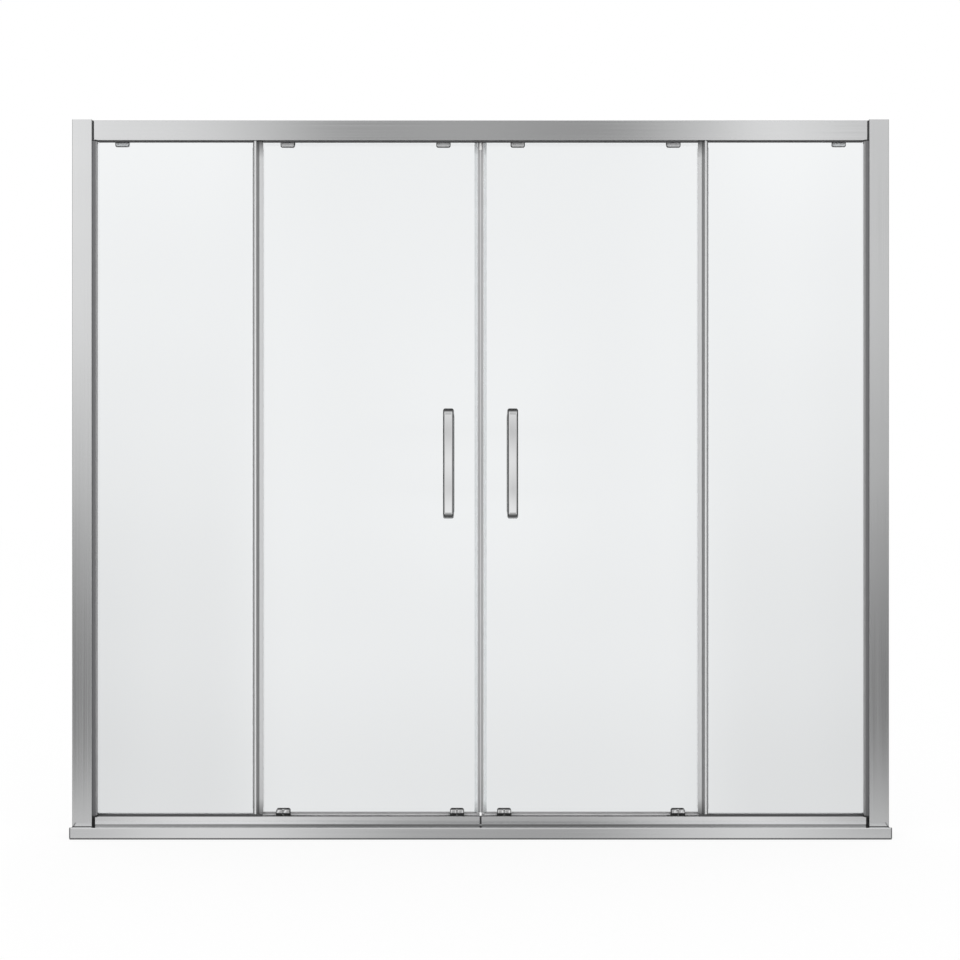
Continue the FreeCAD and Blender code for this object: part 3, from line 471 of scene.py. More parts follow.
def pane_glass(name, tint, edge):
    """Clear glass that turns green at its ground edges."""
    material, graph = start_material(name)
    at_edge = graph.spread(graph.facing(), low=0.3, high=0.95, to_low=1.0, to_high=0.0)
    drift = graph.noise(graph.place(), scale=0.9)
    clear = graph.scaled(tint, graph.spread(drift, *CLOUD_SPAN, to_low=0.992, to_high=1.006))
    graph.set(
        Base_Color=graph.mix(at_edge, clear, edge),
        Roughness=graph.spread(at_edge, low=0.0, high=1.0, to_low=0.0, to_high=0.22),
        IOR=1.5,
        Transmission_Weight=1.0,
    )
    return material


def seal_vinyl(name, tint, ends):
    """Clear soft vinyl with drawing lines along its length, with painted shade from the rails at its ends."""
    painted_end_shade = (0.0, 0.03)
    material, graph = start_material(name)
    lines = graph.streaks(VINYL_LINES, detail=2.0)
    milk = graph.noise(graph.place(), scale=60.0)
    # Painted shade: the tint darkens near the header and the bottom rail
    shade = graph.spread(graph.from_ends(ends), *painted_end_shade, to_low=0.7)
    tone = graph.math("MULTIPLY", shade, graph.spread(milk, *CLOUD_SPAN, to_low=0.98, to_high=1.01))
    graph.set(
        Base_Color=graph.scaled(tint, tone),
        Roughness=graph.spread(lines, *CLOUD_SPAN, to_low=0.12, to_high=0.24),
        IOR=1.35,
        Transmission_Weight=0.95,
        Normal=graph.bump(lines, 0.08, SOFT_BUMP),
    )
    return material


def moulded(name, tint, roughness, grain, speckle=0.12):
    """Plastic or rubber with a fine moulded grain."""
    material, graph = start_material(name)
    fine = graph.noise(graph.place(), grain, detail=3.0)
    broad = graph.noise(graph.place(), scale=24.0)
    speckles = graph.waver(fine, CLOUD_SPAN, speckle)
    tone = graph.math("MULTIPLY", speckles, graph.waver(broad, CLOUD_SPAN, amount=0.03))
    graph.set(
        Base_Color=graph.scaled(tint, tone),
        Roughness=graph.waver(fine, CLOUD_SPAN, amount=0.1, level=roughness),
        Normal=graph.bump(fine, 0.12, SOFT_BUMP),
    )
    return material


def two_tone(name, upper, lower, level, roughness, grain, speckle):
    """Plastic of two colours that meet at a height."""
    meeting = (level - 0.0001, level + 0.0001)
    material = moulded(name, upper, roughness, grain, speckle)
    graph = Graph(material.node_tree)
    above = graph.spread(graph.axes(graph.place())[2], *meeting)
    graph.set(Base_Color=graph.mix(above, lower, graph.fed_by("Base Color")))
    return material


def finish_material(key):
    """The material of that name, made the first time it is asked for."""
    name = f"door_{key}"
    ready = bpy.data.materials.get(name)
    if ready:
        return ready
    finish = bpy.context.scene.door_finish
    trim = bpy.context.scene.door_trim
    satin = finish.aluminium_roughness
    rail_low, rail_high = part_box("bottom_rail_left")
    rail_depth = (rail_low.y, rail_high.y)
    groove_top = rail_low.z + trim.rail_groove
    bead_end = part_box("inner_stile_right")[0].x + trim.stile_bead
    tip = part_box("fixed_edge_profiles")[1].x - trim.edge_metal
    edge_ends = (rail_high.z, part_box("header_rail")[0].z)
    middle = (edge_ends[0] + edge_ends[1]) / 2
    lip_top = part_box("door_glass_left")[0].z - trim.strip_drop + trim.strip_lip
    makers = {
        "rail_metal": lambda: brushed(name, finish.aluminium, satin, ALONG_X),
        "bottom_metal": lambda: rail_metal(
            name, finish.rail, finish.rail_inside_painted_light, satin, groove_top, rail_depth
        ),
        "jamb_metal": lambda: brushed(name, finish.aluminium, satin, ALONG_Z),
        "stile_metal": lambda: stile_metal(name, finish.stile_painted_shade, finish.stile_light, bead_end),
        "edge_metal": lambda: edge_metal(name, finish.aluminium, finish.lip, satin, tip, edge_ends),
        # Painted dark reflections on the rounded edges of the handles, buttons, covers, carriages and stops,
        # and painted shade on the carriages' square sides
        "chrome": lambda: polished(name, finish.chrome, finish.chrome_roughness, rim_shade=0.45),
        "cover": lambda: polished(name, finish.chrome, finish.chrome_roughness, rim_shade=0.35, turn=0.9),
        "fitting": lambda: polished(
            name, finish.fitting, roughness=0.28, rim_shade=0.08, turn=0.96, metallic=0.55, flank=0.15
        ),
        "stop": lambda: polished(name, finish.stop, roughness=0.28, rim_shade=0.15, turn=0.96, metallic=0.55),
        "steel": lambda: polished(name, finish.steel, roughness=0.3),
        "glass": lambda: pane_glass(name, finish.glass, finish.glass_edge),
        "rubber": lambda: moulded(name, finish.rubber, roughness=0.7, grain=1500.0),
        "black_plastic": lambda: moulded(name, finish.black_plastic, roughness=0.5, grain=2200.0),
        "grey_plastic": lambda: moulded(
            name, finish.grey_plastic, roughness=0.45, grain=2200.0, speckle=0.05
        ),
        "plug_plastic": lambda: two_tone(
            name, finish.white_plastic, finish.lower_plug, middle, roughness=0.4, grain=2200.0, speckle=0.02
        ),
        "magnet": lambda: moulded(name, finish.magnet, roughness=0.4, grain=1800.0, speckle=0.06),
        # Painted highlight: a pale band along the drip strips' foot
        "drip_strip": lambda: two_tone(
            name, finish.drip_strip, finish.drip_lip_painted_highlight, lip_top, roughness=0.35, grain=1800.0, speckle=0.05
        ),
        "nylon": lambda: moulded(name, finish.nylon, roughness=0.38, grain=1600.0, speckle=0.04),
        "seal": lambda: seal_vinyl(name, finish.seal, edge_ends),
    }
    return makers[key]()


def paint(piece, key):
    piece.data.materials.clear()
    piece.data.materials.append(finish_material(key))


def paint_nodes(key, *nodes):
    for node in nodes:
        paint(CAD_NODES[node], key)


def both(name):
    return [f"{name}_{side}" for side in SIDES]


# Modelling helpers


def deselect():
    bpy.ops.object.select_all(action="DESELECT")


def active():
    return bpy.context.view_layer.objects.active


def only(piece):
    """Selects one object and makes it active."""
    deselect()
    piece.select_set(True)
    bpy.context.view_layer.objects.active = piece


def edit(piece):
    only(piece)
    bpy.ops.object.mode_set(mode="EDIT")
    bpy.ops.mesh.select_all(action="SELECT")


def done():
    bpy.ops.object.mode_set(mode="OBJECT")


def pick(piece, kind, wanted):
    """Selects the faces or edges of the open mesh that wanted accepts."""
    bpy.ops.mesh.select_mode(type=kind)
    bpy.ops.mesh.select_all(action="DESELECT")
    shape = bmesh.from_edit_mesh(piece.data)
    for item in shape.faces if kind == "FACE" else shape.edges:
        item.select_set(wanted(item))
    bmesh.update_edit_mesh(piece.data)


def round_edges(piece, wanted, width, segments):
    """Rounds the edges that wanted accepts."""
    edit(piece)
    pick(piece, "EDGE", wanted)
    bpy.ops.mesh.bevel(offset=width, segments=segments, affect="EDGES")
    done()


def settle(piece):
    """Puts the object's place into its mesh."""
    only(piece)
    bpy.ops.object.transform_apply(location=True, rotation=True, scale=True)


def use_modifier(piece, kind, **values):
    only(piece)
    modifier = piece.modifiers.new(kind.title(), kind)
    for key, value in values.items():
        setattr(modifier, key, value)
    bpy.ops.object.modifier_apply(modifier=modifier.name)


def smooth(piece, degrees=35.0):
    only(piece)
    bpy.ops.object.shade_smooth_by_angle(angle=math.radians(degrees))


def join(pieces, name):
    only(pieces[0])
    for piece in pieces:
        piece.select_set(True)
    bpy.ops.object.join()
    joined = active()
    joined.name = name
    joined.data.name = name
    return joined


def copied(piece, shift):
    """A copy with its own mesh, moved by shift."""
    only(piece)
    bpy.ops.object.duplicate()
    twin = active()
    twin.location = shift
    settle(twin)
    return twin


def fit_out(piece, body, slot, key, *nodes):
    """Paints a new piece, sets it on its body and lets it stand for its CAD nodes."""
    paint(piece, key)
    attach(piece, body)
    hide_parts(*nodes)


# Corners this near, in metres, are merged, and faces this flat to each other, in degrees, become one
MERGE_WITHIN = 0.000002
FLAT_WITHIN = 0.5

# Faces shade smooth up to this share of the angle from which edges are rounded
SMOOTH_SHARE = 0.75


def eased(node, ending, width, slot, key, shrink=0.0, segments=2, corner=40.0):
    """Copies a CAD piece, merges its triangles into faces and rounds its edges past corner degrees."""
    source = CAD_NODES[node]
    name = f"{node}_{ending}"
    piece = bpy.data.objects.new(name, source.data.copy())
    piece.data.name = name
    bpy.context.scene.collection.objects.link(piece)
    edit(piece)
    bpy.ops.mesh.customdata_custom_splitnormals_clear()
    bpy.ops.mesh.remove_doubles(threshold=MERGE_WITHIN)
    bpy.ops.mesh.dissolve_limited(angle_limit=math.radians(FLAT_WITHIN))
    if shrink:
        bpy.ops.transform.shrink_fatten(value=-shrink)
    done()
    use_modifier(
        piece,
        "BEVEL",
        width=width,
        segments=segments,
        limit_method="ANGLE",
        angle_limit=math.radians(corner),
        use_clamp_overlap=True,
    )
    smooth(piece, corner * SMOOTH_SHARE)
    fit_out(piece, source["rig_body"], slot, key, node)
    return piece


def block(low, high):
    """Box between two corners, ready for more work."""
    middle = (Vector(low) + Vector(high)) / 2
    deselect()
    bpy.ops.mesh.primitive_cube_add(size=1.0, location=middle)
    piece = active()
    piece.scale = Vector(high) - Vector(low)
    settle(piece)
    return piece


def drum(radius, middle, depth, sides):
    """Cylinder along Y, ready for more work."""
    deselect()
    bpy.ops.mesh.primitive_cylinder_add(
        vertices=sides, radius=radius, depth=depth, location=middle, rotation=(math.pi / 2, 0.0, 0.0)
    )
    piece = active()
    settle(piece)
    return piece


# Places this near, in metres, are the same, and a face whose normal's Y is past this is a drum's cap
NEAR = 0.00005
CAP_FACING = 0.99


def is_cap(face):
    return abs(face.normal.y) > CAP_FACING


def is_rim(edge):
    """Edge between a cap and the wall of a drum."""
    return len(edge.link_faces) == 2 and is_cap(edge.link_faces[0]) != is_cap(edge.link_faces[1])


def is_along_y(edge):
    return abs(edge.verts[0].co.y - edge.verts[1].co.y) > NEAR


def edge_back(edge):
    """Y of the edge's end that lies further back."""
    return max(vert.co.y for vert in edge.verts)


# Operators


class DOOR_OT_frame(bpy.types.Operator):
    """Finishes the jambs, header, bottom rails and sill"""

    bl_idname = "shower_door.frame"
    bl_label = "Frame"

    def execute(self, context):
        paint_nodes("rail_metal", "header_rail", "sill")
        paint_nodes("bottom_metal", *both("bottom_rail"))
        paint_nodes("jamb_metal", *both("wall_jamb"))
        return {"FINISHED"}


class DOOR_OT_stiles(bpy.types.Operator):
    """Eases and finishes the stiles in the jambs"""

    bl_idname = "shower_door.stiles"
    bl_label = "Stiles"

    def execute(self, context):
        for node in both("inner_stile"):
            eased(node, "eased", context.scene.door_trim.metal_ease, "satin_aluminium", "stile_metal")
        return {"FINISHED"}


class DOOR_OT_end_pieces(bpy.types.Operator):
    """Eases and finishes the end blocks and the sill's end caps"""

    bl_idname = "shower_door.end_pieces"
    bl_label = "End pieces"

    def execute(self, context):
        ease = context.scene.door_trim.plastic_ease
        for node in ("header_end_blocks", "rail_end_blocks"):
            eased(node, "moulded", ease, "black_plastic", "black_plastic")
        eased("sill_end_caps", "moulded", ease, "grey_plastic", "grey_plastic")
        return {"FINISHED"}


class DOOR_OT_panes(bpy.types.Operator):
    """Grinds the edges of the four panes and makes them glass"""

    bl_idname = "shower_door.panes"
    bl_label = "Panes"

    def execute(self, context):
        for node in both("fixed_glass") + both("door_glass"):
            eased(node, "ground", context.scene.door_trim.glass_arris, "clear_glass", "glass", segments=1)
        return {"FINISHED"}


class DOOR_OT_rubber(bpy.types.Operator):
    """Rounds and finishes the gaskets, slot infills and stop bumpers"""

    bl_idname = "shower_door.rubber"
    bl_label = "Rubber"

    def execute(self, context):
        for node in ("glazing_gaskets", "slot_infills", "stop_bumpers"):
            eased(node, "rounded", context.scene.door_trim.rubber_ease, "black_rubber", "rubber")
        return {"FINISHED"}


class DOOR_OT_fixed_edges(bpy.types.Operator):
    """Eases and finishes the edge profiles of the fixed panes and their lips"""

    bl_idname = "shower_door.fixed_edges"
    bl_label = "Fixed edges"

    def execute(self, context):
        trim = context.scene.door_trim
        eased("fixed_edge_profiles", "eased", trim.metal_ease, "bright_aluminium", "edge_metal", corner=16.0)
        eased("fixed_edge_seals", "soft", trim.seal_ease, "clear_seal", "seal", trim.seal_shrink)
        return {"FINISHED"}


class DOOR_OT_door_seals(bpy.types.Operator):
    """Rounds and finishes the doors' seals, magnets and end plugs"""

    bl_idname = "shower_door.door_seals"
    bl_label = "Door seals"

    def execute(self, context):
        trim = context.scene.door_trim
        for node in both("magnet_seal") + both("outer_edge_seal"):
            eased(node, "soft", trim.seal_ease, "clear_seal", "seal", trim.seal_shrink)
        for node in both("magnet_strip"):
            eased(node, "rounded", trim.seal_ease, "grey_magnet", "magnet")
        for node in both("magnet_end_plugs"):
            eased(node, "rounded", trim.rubber_ease, "white_plastic", "plug_plastic", segments=3)
        return {"FINISHED"}


# Rounding of a drip strip's edges, as a share of its wall
STRIP_EASE = 0.3


def drip_strip(start, end, bottom, front, back, trim):
    """Channel along X that laps the lower edge of a pane and closes below it."""
    wall = trim.strip_wall
    low = bottom - trim.strip_drop
    high = bottom + trim.strip_rise
    inner_front = front - trim.seal_shrink
    inner_back = back + trim.seal_shrink
    floor = bottom - trim.seal_shrink
    section = (
        (front - wall, low),
        (back + wall, low),
        (back + wall, high),
        (inner_back, high),
        (inner_back, floor),
        (inner_front, floor),
        (inner_front, high),
        (front - wall, high),
    )
    strip = bpy.data.objects.new("drip_strip", bpy.data.meshes.new("drip_strip"))
    bpy.context.scene.collection.objects.link(strip)
    shape = bmesh.new()
    outline = shape.faces.new([shape.verts.new((start, y, z)) for y, z in section])
    pulled = bmesh.ops.extrude_face_region(shape, geom=[outline])["geom"]
    corners = [item for item in pulled if isinstance(item, bmesh.types.BMVert)]
    bmesh.ops.translate(shape, vec=(end - start, 0.0, 0.0), verts=corners)
    bmesh.ops.recalc_face_normals(shape, faces=shape.faces)
    shape.to_mesh(strip.data)
    shape.free()
    use_modifier(strip, "BEVEL", width=wall * STRIP_EASE, segments=2, limit_method="ANGLE")
    return strip


class DOOR_OT_drip_strips(bpy.types.Operator):
    """Models the smoked strips along the doors' lower edges, between the guides"""

    bl_idname = "shower_door.drip_strips"
    bl_label = "Drip strips"

    def execute(self, context):
        trim = context.scene.door_trim
        for side in SIDES:
            glass_low, glass_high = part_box(f"door_glass_{side}")
            guide_low, guide_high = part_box(f"bottom_guides_{side}")
            first_end = guide_low.x + trim.guide_width
            last_start = guide_high.x - trim.guide_width
            far_low = glass_low.x + (trim.strip_inset if side == "left" else 0.0)
            far_high = glass_high.x - (trim.strip_inset if side == "right" else 0.0)
            stretches = ((far_low, guide_low.x), (first_end, last_start), (guide_high.x, far_high))
            pieces = []
            for start, end in stretches:
                span = (start + trim.strip_gap, end - trim.strip_gap)
                pieces.append(drip_strip(*span, glass_low.z, glass_low.y, glass_high.y, trim))
            strips = join(pieces, f"drip_strips_{side}")
            smooth(strips)
            paint(strips, "drip_strip")
            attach(strips, f"{side}_door")
        return {"FINISHED"}


class DOOR_OT_handles(bpy.types.Operator):
    """Finishes the handles and what holds them"""

    bl_idname = "shower_door.handles"
    bl_label = "Handles"

    def execute(self, context):
        paint_nodes("chrome", *both("outer_handle"), *both("inner_handle"))
        paint_nodes("steel", *both("handle_fixings"))
        return {"FINISHED"}


class DOOR_OT_carriages(bpy.types.Operator):
    """Finishes the roller carriages, their screws and the stops"""

    bl_idname = "shower_door.carriages"
    bl_label = "Carriages"

    def execute(self, context):
        paint_nodes("fitting", *both("top_carriages"))
        paint_nodes("stop", "header_stops")
        paint_nodes("steel", *both("carriage_screws"))
        return {"FINISHED"}


# Roundings of a guide's cover, as shares of its height and of its depth
COVER_CORNER = 0.28
COVER_DOME = 0.62
COVER_SEGMENTS = 5


def guide_cover(low, high, trim):
    """Plate with two domed lobes side by side, the domes towards -Y."""
    pieces = [block((low.x, high.y - trim.cover_base, low.z), high)]
    lobe_back = high.y - trim.cover_base / 2
    half = (high.x - low.x - trim.cover_parting) / 2
    for start in (low.x, high.x - half):
        pieces.append(block((start, low.y, low.z), (start + half, lobe_back, high.z)))
    corner = (high.z - low.z) * COVER_CORNER
    for piece in pieces:
        round_edges(piece, is_along_y, corner, COVER_SEGMENTS)
    dome = (high.y - low.y) * COVER_DOME
    for lobe in pieces[1:]:
        round_edges(lobe, lambda edge: edge_back(edge) < low.y + NEAR, dome, COVER_SEGMENTS)
    return join(pieces, "guide_cover")


class DOOR_OT_guides(bpy.types.Operator):
    """Eases the bottom guides, models their domed covers and finishes the buttons"""

    bl_idname = "shower_door.guides"
    bl_label = "Bottom guides"

    def execute(self, context):
        trim = context.scene.door_trim
        model = None
        for side in SIDES:
            eased(f"bottom_guides_{side}", "moulded", trim.plastic_ease, "black_plastic", "black_plastic")
            low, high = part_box(f"guide_covers_{side}")
            if model is None:
                model = guide_cover(low, Vector((low.x + trim.cover_width, high.y, high.z)), trim)
                first_x = low.x
            pair = [
                copied(model, (low.x - first_x, 0.0, 0.0)),
                copied(model, (high.x - trim.cover_width - first_x, 0.0, 0.0)),
            ]
            covers = join(pair, f"guide_covers_{side}_domed")
            smooth(covers, degrees=50.0)
            fit_out(covers, f"{side}_door", "chrome", "cover", f"guide_covers_{side}")
            paint_nodes("chrome", *[f"release_button_{side}_{where}" for where in PLACES])
        bpy.data.objects.remove(model)
        paint_nodes("steel", *both("guide_springs"))
        return {"FINISHED"}


# Rounding of a roller's tyre, its sloping steps, the least web and how far the hub ring rises again
TYRE_EASE = 0.0007
WEB_STEP = 0.0003
HUB_STEP = 0.0002
LEAST_WEB = 0.0003
HUB_RISE = 0.7


def roller(low, high, bore, trim):
    """Turned roller along Y: tyre, recessed web, hub ring and a through bore."""
    middle = (low + high) / 2
    radius = (high.z - low.z) / 2
    web = radius - trim.tyre - WEB_STEP - bore - trim.hub_ring - HUB_STEP
    wheel = drum(radius, middle, high.y - low.y, trim.roller_sides)
    round_edges(wheel, is_rim, TYRE_EASE, segments=3)
    edit(wheel)
    pick(wheel, "FACE", is_cap)
    rings = (
        (trim.tyre - TYRE_EASE, 0.0),
        (WEB_STEP, -trim.hub_recess),
        (max(web, LEAST_WEB), 0.0),
        (HUB_STEP, trim.hub_recess * HUB_RISE),
        (trim.hub_ring, 0.0),
    )
    for thickness, depth in rings:
        bpy.ops.mesh.inset(thickness=thickness, depth=depth, use_individual=True)
    bpy.ops.mesh.bridge_edge_loops()
    bpy.ops.mesh.select_all(action="SELECT")
    bpy.ops.mesh.normals_make_consistent(inside=False)
    done()
    smooth(wheel, degrees=30.0)
    return wheel


class DOOR_OT_rollers(bpy.types.Operator):
    """Models the top and bottom rollers and finishes their axles"""

    bl_idname = "shower_door.rollers"
    bl_label = "Rollers"

    def execute(self, context):
        trim = context.scene.door_trim
        for kind, bore in (("top_wheel", trim.top_bore), ("bottom_wheel", trim.bottom_bore)):
            model_low, model_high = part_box(f"{kind}_left_outer")
            model = roller(model_low, model_high, bore, trim)
            for side in SIDES:
                for where in PLACES:
                    node = f"{kind}_{side}_{where}"
                    wheel = copied(model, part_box(node)[0] - model_low)
                    wheel.name = f"{node}_turned"
                    fit_out(wheel, CAD_NODES[node]["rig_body"], "nylon", "nylon", node)
            bpy.data.objects.remove(model)
        paint_nodes("steel", *both("roller_axles"))
        return {"FINISHED"}


# A frame screw's dome and cross recess, as shares of its head, its shank and the ease of a plain end
HEAD_DOME = 0.6
RECESS_ARM = 0.55
RECESS_SLIT = 0.12
RECESS_DEPTH = 0.65
HEAD_SIDES = 48
SHANK_SIDES = 32
SHANK_LENGTH = 0.007
ROD_EASE = 0.0003


def pan_screw(head_seat, shank_end, trim):
    """Screw along Y with a domed head, a cross recess and a plain shank."""
    tall = trim.screw_head_height
    top = head_seat + Vector((0.0, tall, 0.0))
    head = drum(trim.screw_head, (head_seat + top) / 2, tall, HEAD_SIDES)

    def is_top_rim(edge):
        return is_rim(edge) and edge_back(edge) > top.y - NEAR

    round_edges(head, is_top_rim, tall * HEAD_DOME, segments=4)
    arm = trim.screw_head * RECESS_ARM
    slit = trim.screw_head * RECESS_SLIT
    deep = tall * RECESS_DEPTH
    for half_x, half_z in ((arm, slit), (slit, arm)):
        reach = Vector((half_x, deep, half_z))
        cutter = block(top - reach, top + reach)
        use_modifier(head, "BOOLEAN", operation="DIFFERENCE", object=cutter)
        bpy.data.objects.remove(cutter)
    middle = (head_seat + shank_end) / 2
    shank = drum(trim.screw_radius, middle, head_seat.y - shank_end.y, SHANK_SIDES)
    return join([head, shank], "pan_screw")


class DOOR_OT_frame_screws(bpy.types.Operator):
    """Models the jambs' pan-head screws and the stops' screws"""

    bl_idname = "shower_door.frame_screws"
    bl_label = "Frame screws"

    def execute(self, context):
        trim = context.scene.door_trim
        low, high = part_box("frame_screws")
        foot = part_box("rail_end_blocks")[0].z
        mid_height = (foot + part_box("wall_jamb_left")[1].z) / 2
        across = high.x - trim.screw_head
        seat = Vector((across, high.y - trim.screw_head_height, mid_height))
        model = pan_screw(seat, seat - Vector((0.0, SHANK_LENGTH, 0.0)), trim)
        pieces = []
        for shift_x in (0.0, -2 * across):
            for shift_z in (-trim.screw_spacing, 0.0, trim.screw_spacing):
                pieces.append(copied(model, (shift_x, 0.0, shift_z)))
        bpy.data.objects.remove(model)
        stop_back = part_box("header_stops")[1].y
        for x in (-trim.stop_place, trim.stop_place):
            middle = (x, (low.y + stop_back) / 2, high.z - trim.screw_radius)
            rod = drum(trim.screw_radius, middle, stop_back - low.y, SHANK_SIDES)
            round_edges(rod, is_rim, ROD_EASE, segments=2)
            pieces.append(rod)
        screws = join(pieces, "frame_screws_pan")
        smooth(screws)
        fit_out(screws, "frame", "steel", "steel", "frame_screws")
        return {"FINISHED"}


# Studio

# Places of the lamps
KEY_PLACE = (-2.2, -2.6, 2.8)
FILL_PLACE = (2.6, -2.2, 2.0)

# Levels of the lit front from left to right, as (place, level): upper half, lower half, the band over it
FRONT_HIGH = (
    (0.0, 0.90), (0.09, 0.89), (0.13, 0.82), (0.20, 0.83), (0.275, 0.65), (0.36, 0.355), (0.5, 0.42),
    (0.63, 0.305), (0.71, 0.585), (0.81, 0.98), (0.88, 0.60), (0.91, 0.645), (1.0, 0.58),
)
FRONT_LOW = (
    (0.0, 0.80), (0.12, 0.86), (0.18, 0.81), (0.265, 0.82), (0.345, 0.595), (0.44, 0.432),
    (0.61, 0.388), (0.665, 0.52), (0.714, 0.705), (0.765, 0.83), (0.82, 0.73), (0.885, 0.80), (1.0, 0.66),
)
FRONT_BAND = (
    (0.04, 0.74), (0.14, 1.05), (0.25, 1.08), (0.34, 0.56), (0.43, 0.32), (0.65, 0.26),
    (0.77, 0.94), (0.88, 1.05), (0.96, 0.66),
)

# Levels of its sides, from foot to top
SIDE_FALL = (
    (0.04, 0.78), (0.10, 0.48), (0.17, 0.20), (0.25, 0.20), (0.32, 0.275), (0.42, 0.48),
    (0.53, 0.70), (0.73, 0.98), (0.96, 1.03),
)

# Levels of the view through the panes, from foot to top, and the share of them at the sides
THROUGH_LEVELS = ((0.0, 0.80), (0.10, 0.83), (0.30, 0.88), (0.49, 0.907), (0.70, 0.918), (0.92, 0.92))
THROUGH_SIDES = ((0.05, 0.91), (0.40, 0.93), (0.60, 0.964), (0.75, 0.984), (0.95, 1.024))

# Levels of the glow, away from the eye's height
EYE_GLOW = ((0.0, 0.25), (0.24, 0.11), (0.36, 0.0), (0.56, 0.27), (0.64, 0.29), (1.0, 0.29))

# Slopes that the levels run over: how far a direction goes across or up for its way to the front or back,
# which counts as LEAST_DEPTH at least
LEAST_DEPTH = 0.15
FRONT_REACH = (-0.3, 0.3)
FRONT_TURN = (-0.1, 0.1)
HEIGHT_REACH = (-0.24, 0.24)
EYE_HEIGHT = 0.0122
EYE_REACH = (0.0, 0.05)

# Slopes over which one level fades into the next
SIDE_FADE = (0.19, 0.235)
SPOT_FADE = (0.0, 0.085)
EYE_SIDE_FADE = (0.03, 0.08)
EYE_FADE = (0.06, 0.14)
BAND_FOOT = (0.60, 0.66)
BAND_TOP = (0.78, 0.86)
FRONT_END = (0.33, 0.45)
PANE_SIDE_FADE = (0.11, 0.17)

# Levels of the spot at the front's middle and of what lies past the front
SPOT_LEVEL = 0.28
PAST_FRONT_LEVEL = 0.95

# Edges of the dark flags, as parts of a direction along X, Z or Y
SIDE_FLAGS = (0.45, 0.62)
LOW_FLAG = (-0.6, -0.26)
TOP_FLAG = (0.6, 1.0)
BACK_FLAG_START = (0.05, 0.2)
BACK_FLAG_FOOT = (0.25, 0.4)


def front_light(graph, across, rise):
    """Levels of the lit front, with a spot and a glow at its middle and a band over it."""
    off_axis = graph.math("ABSOLUTE", across)
    place = graph.spread(across, *FRONT_REACH)
    high_up = graph.spread(rise, *FRONT_TURN)
    front = graph.blend(high_up, graph.ramp(place, FRONT_LOW), graph.ramp(place, FRONT_HIGH))
    fall = graph.ramp(graph.spread(rise, *HEIGHT_REACH), SIDE_FALL)
    at_side = graph.spread(off_axis, *SIDE_FADE, smooth=True)
    front = graph.math("MULTIPLY", front, graph.blend(at_side, 1.0, fall))
    squares = graph.math("ADD", graph.math("POWER", across, 2.0), graph.math("POWER", rise, 2.0))
    radius = graph.math("SQRT", squares)
    front = graph.math("ADD", front, graph.spread(radius, *SPOT_FADE, SPOT_LEVEL, 0.0, smooth=True))
    from_eye = graph.math("ABSOLUTE", graph.math("SUBTRACT", rise, EYE_HEIGHT))
    glow = graph.ramp(graph.spread(from_eye, *EYE_REACH), EYE_GLOW, "LINEAR")
    glow = graph.math("MULTIPLY", glow, graph.spread(off_axis, *EYE_SIDE_FADE, 1.0, 0.0))
    glow = graph.math("MULTIPLY", glow, graph.spread(from_eye, *EYE_FADE, 1.0, 0.0))
    front = graph.math("ADD", front, glow)
    band = graph.math("MULTIPLY", graph.spread(rise, *BAND_FOOT), graph.spread(rise, *BAND_TOP, 1.0, 0.0))
    ring = graph.spread(radius, *FRONT_END, smooth=True)
    past_front = graph.math("MULTIPLY", ring, graph.math("SUBTRACT", 1.0, band))
    lit = graph.blend(band, front, graph.ramp(place, FRONT_BAND))
    return graph.blend(past_front, lit, PAST_FRONT_LEVEL)


def pane_light(graph, across, rise):
    """Levels of the view through the panes: a slow gradient, a little different at the sides."""
    height = graph.spread(rise, *HEIGHT_REACH)
    at_side = graph.spread(graph.math("ABSOLUTE", across), *PANE_SIDE_FADE, smooth=True)
    beside = graph.blend(at_side, 1.0, graph.ramp(height, THROUGH_SIDES))
    return graph.math("MULTIPLY", graph.ramp(height, THROUGH_LEVELS), beside)


def studio_world():
    """White surround. Metal sees a lit front and dark flags round it; panes see a slow gradient."""
    world = bpy.data.worlds.new("door_studio")
    world.use_nodes = True
    world.node_tree.nodes.clear()
    graph = Graph(world.node_tree)
    x, y, z = graph.axes(graph.add("ShaderNodeTexCoord").outputs["Generated"])
    depth = graph.math("MAXIMUM", graph.math("ABSOLUTE", y), LEAST_DEPTH)
    across = graph.math("DIVIDE", x, depth)
    rise = graph.math("DIVIDE", z, depth)
    beside = graph.spread(graph.math("ABSOLUTE", x), *SIDE_FLAGS, smooth=True)
    below = graph.spread(z, *LOW_FLAG, 1.0, 0.0)
    overhead = graph.spread(z, *TOP_FLAG)
    above = graph.spread(z, *BACK_FLAG_FOOT)
    behind = graph.math("MULTIPLY", graph.spread(y, *BACK_FLAG_START), above)
    mirrored = front_light(graph, across, rise)
    for mask, amount in ((beside, 0.93), (below, 0.85), (overhead, 0.9), (behind, 0.9)):
        mirrored = graph.dim(mirrored, mask, amount)
    through = graph.dim(pane_light(graph, across, rise), above, amount=0.85)
    rays = graph.add("ShaderNodeLightPath").outputs
    light = graph.blend(rays["Is Glossy Ray"], 1.0, mirrored)
    light = graph.blend(rays["Is Transmission Ray"], light, through)
    light = graph.blend(rays["Is Camera Ray"], light, 1.0)
    background = graph.add("ShaderNodeBackground")
    graph.feed(background.inputs["Color"], light)
    output = graph.add("ShaderNodeOutputWorld")
    graph.feed(output.inputs["Surface"], background.outputs[0])
    return world


def area_lamp(name, place, target, power, size):
    deselect()
    bpy.ops.object.light_add(type="AREA", location=place)
    lamp = active()
    lamp.name = name
    lamp.data.energy = power
    lamp.data.size = size
    lamp.rotation_euler = (Vector(target) - Vector(place)).to_track_quat("-Z", "Y").to_euler()
    lamp.visible_glossy = False
    lamp.visible_transmission = False
    return lamp


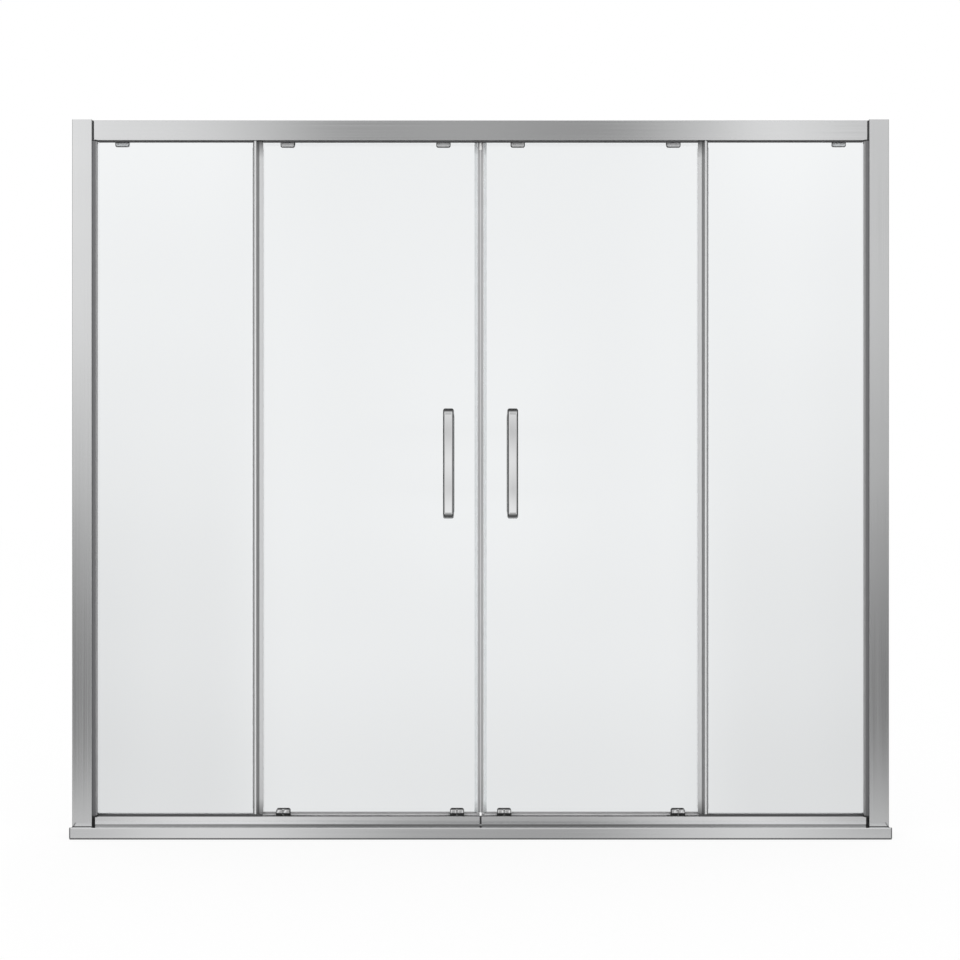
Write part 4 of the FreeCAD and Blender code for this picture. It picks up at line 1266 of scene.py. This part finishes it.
class DOOR_OT_stage(bpy.types.Operator):
    """Sets the floor, soft light, surround and camera"""

    bl_idname = "shower_door.stage"
    bl_label = "Stage"

    def execute(self, context):
        scene = context.scene
        studio = scene.door_studio
        scene.view_settings.view_transform = "Standard"
        scene.world = studio_world()
        deselect()
        bpy.ops.mesh.primitive_plane_add(size=studio.floor_size)
        floor = active()
        floor.name = "studio_floor"
        floor.visible_glossy = False
        floor.visible_transmission = False
        material, graph = start_material("studio_floor")
        graph.set(Base_Color=studio.floor, Roughness=1.0, Specular_IOR_Level=0.0)
        white = graph.add("ShaderNodeEmission")
        blend = graph.add("ShaderNodeMixShader")
        seen = graph.add("ShaderNodeLightPath").outputs["Is Camera Ray"]
        graph.feed(blend.inputs[0], graph.math("MULTIPLY", seen, studio.floor_white))
        graph.feed(blend.inputs[1], graph.shader.outputs[0])
        graph.feed(blend.inputs[2], white.outputs[0])
        graph.feed(material.node_tree.nodes["Material Output"].inputs["Surface"], blend.outputs[0])
        floor.data.materials.append(material)
        target = (CAD_BOX[0] + CAD_BOX[1]) / 2
        key = area_lamp("studio_key", KEY_PLACE, target, studio.key_power, studio.lamp_size)
        side = area_lamp("studio_fill", FILL_PLACE, target, studio.fill_power, studio.lamp_size)
        bpy.ops.object.camera_add(location=studio.camera_place, rotation=(math.pi / 2, 0.0, 0.0))
        camera = active()
        camera.name = "studio_camera"
        camera.data.lens = studio.camera_lens
        scene.camera = camera
        return {"FINISHED"}


STEPS = (
    DOOR_OT_frame,
    DOOR_OT_stiles,
    DOOR_OT_end_pieces,
    DOOR_OT_panes,
    DOOR_OT_rubber,
    DOOR_OT_fixed_edges,
    DOOR_OT_door_seals,
    DOOR_OT_drip_strips,
    DOOR_OT_handles,
    DOOR_OT_carriages,
    DOOR_OT_guides,
    DOOR_OT_rollers,
    DOOR_OT_frame_screws,
    DOOR_OT_stage,
)


class DOOR_PT_panel(bpy.types.Panel):
    """Lists the steps and their settings"""

    bl_idname = "DOOR_PT_panel"
    bl_label = "Shower Door"
    bl_space_type = "VIEW_3D"
    bl_region_type = "UI"
    bl_category = "Shower Door"

    def draw(self, context):
        for step in STEPS:
            self.layout.operator(step.bl_idname)
        for settings in (context.scene.door_trim, context.scene.door_finish, context.scene.door_studio):
            column = self.layout.column()
            for key in settings.__annotations__:
                column.prop(settings, key)


SETTINGS = (DoorTrim, DoorFinish, DoorStudio)


def register():
    for item in SETTINGS + STEPS + (DOOR_PT_panel,):
        bpy.utils.register_class(item)
    bpy.types.Scene.door_trim = PointerProperty(type=DoorTrim)
    bpy.types.Scene.door_finish = PointerProperty(type=DoorFinish)
    bpy.types.Scene.door_studio = PointerProperty(type=DoorStudio)


def unregister():
    del bpy.types.Scene.door_studio
    del bpy.types.Scene.door_finish
    del bpy.types.Scene.door_trim
    for item in reversed(SETTINGS + STEPS + (DOOR_PT_panel,)):
        bpy.utils.unregister_class(item)


def main():
    register()
    bpy.ops.shower_door.frame()
    bpy.ops.shower_door.stiles()
    bpy.ops.shower_door.end_pieces()
    bpy.ops.shower_door.panes()
    bpy.ops.shower_door.rubber()
    bpy.ops.shower_door.fixed_edges()
    bpy.ops.shower_door.door_seals()
    bpy.ops.shower_door.drip_strips()
    bpy.ops.shower_door.handles()
    bpy.ops.shower_door.carriages()
    bpy.ops.shower_door.guides()
    bpy.ops.shower_door.rollers()
    bpy.ops.shower_door.frame_screws()
    bpy.ops.shower_door.stage()


if __name__ == "__main__":
    main()
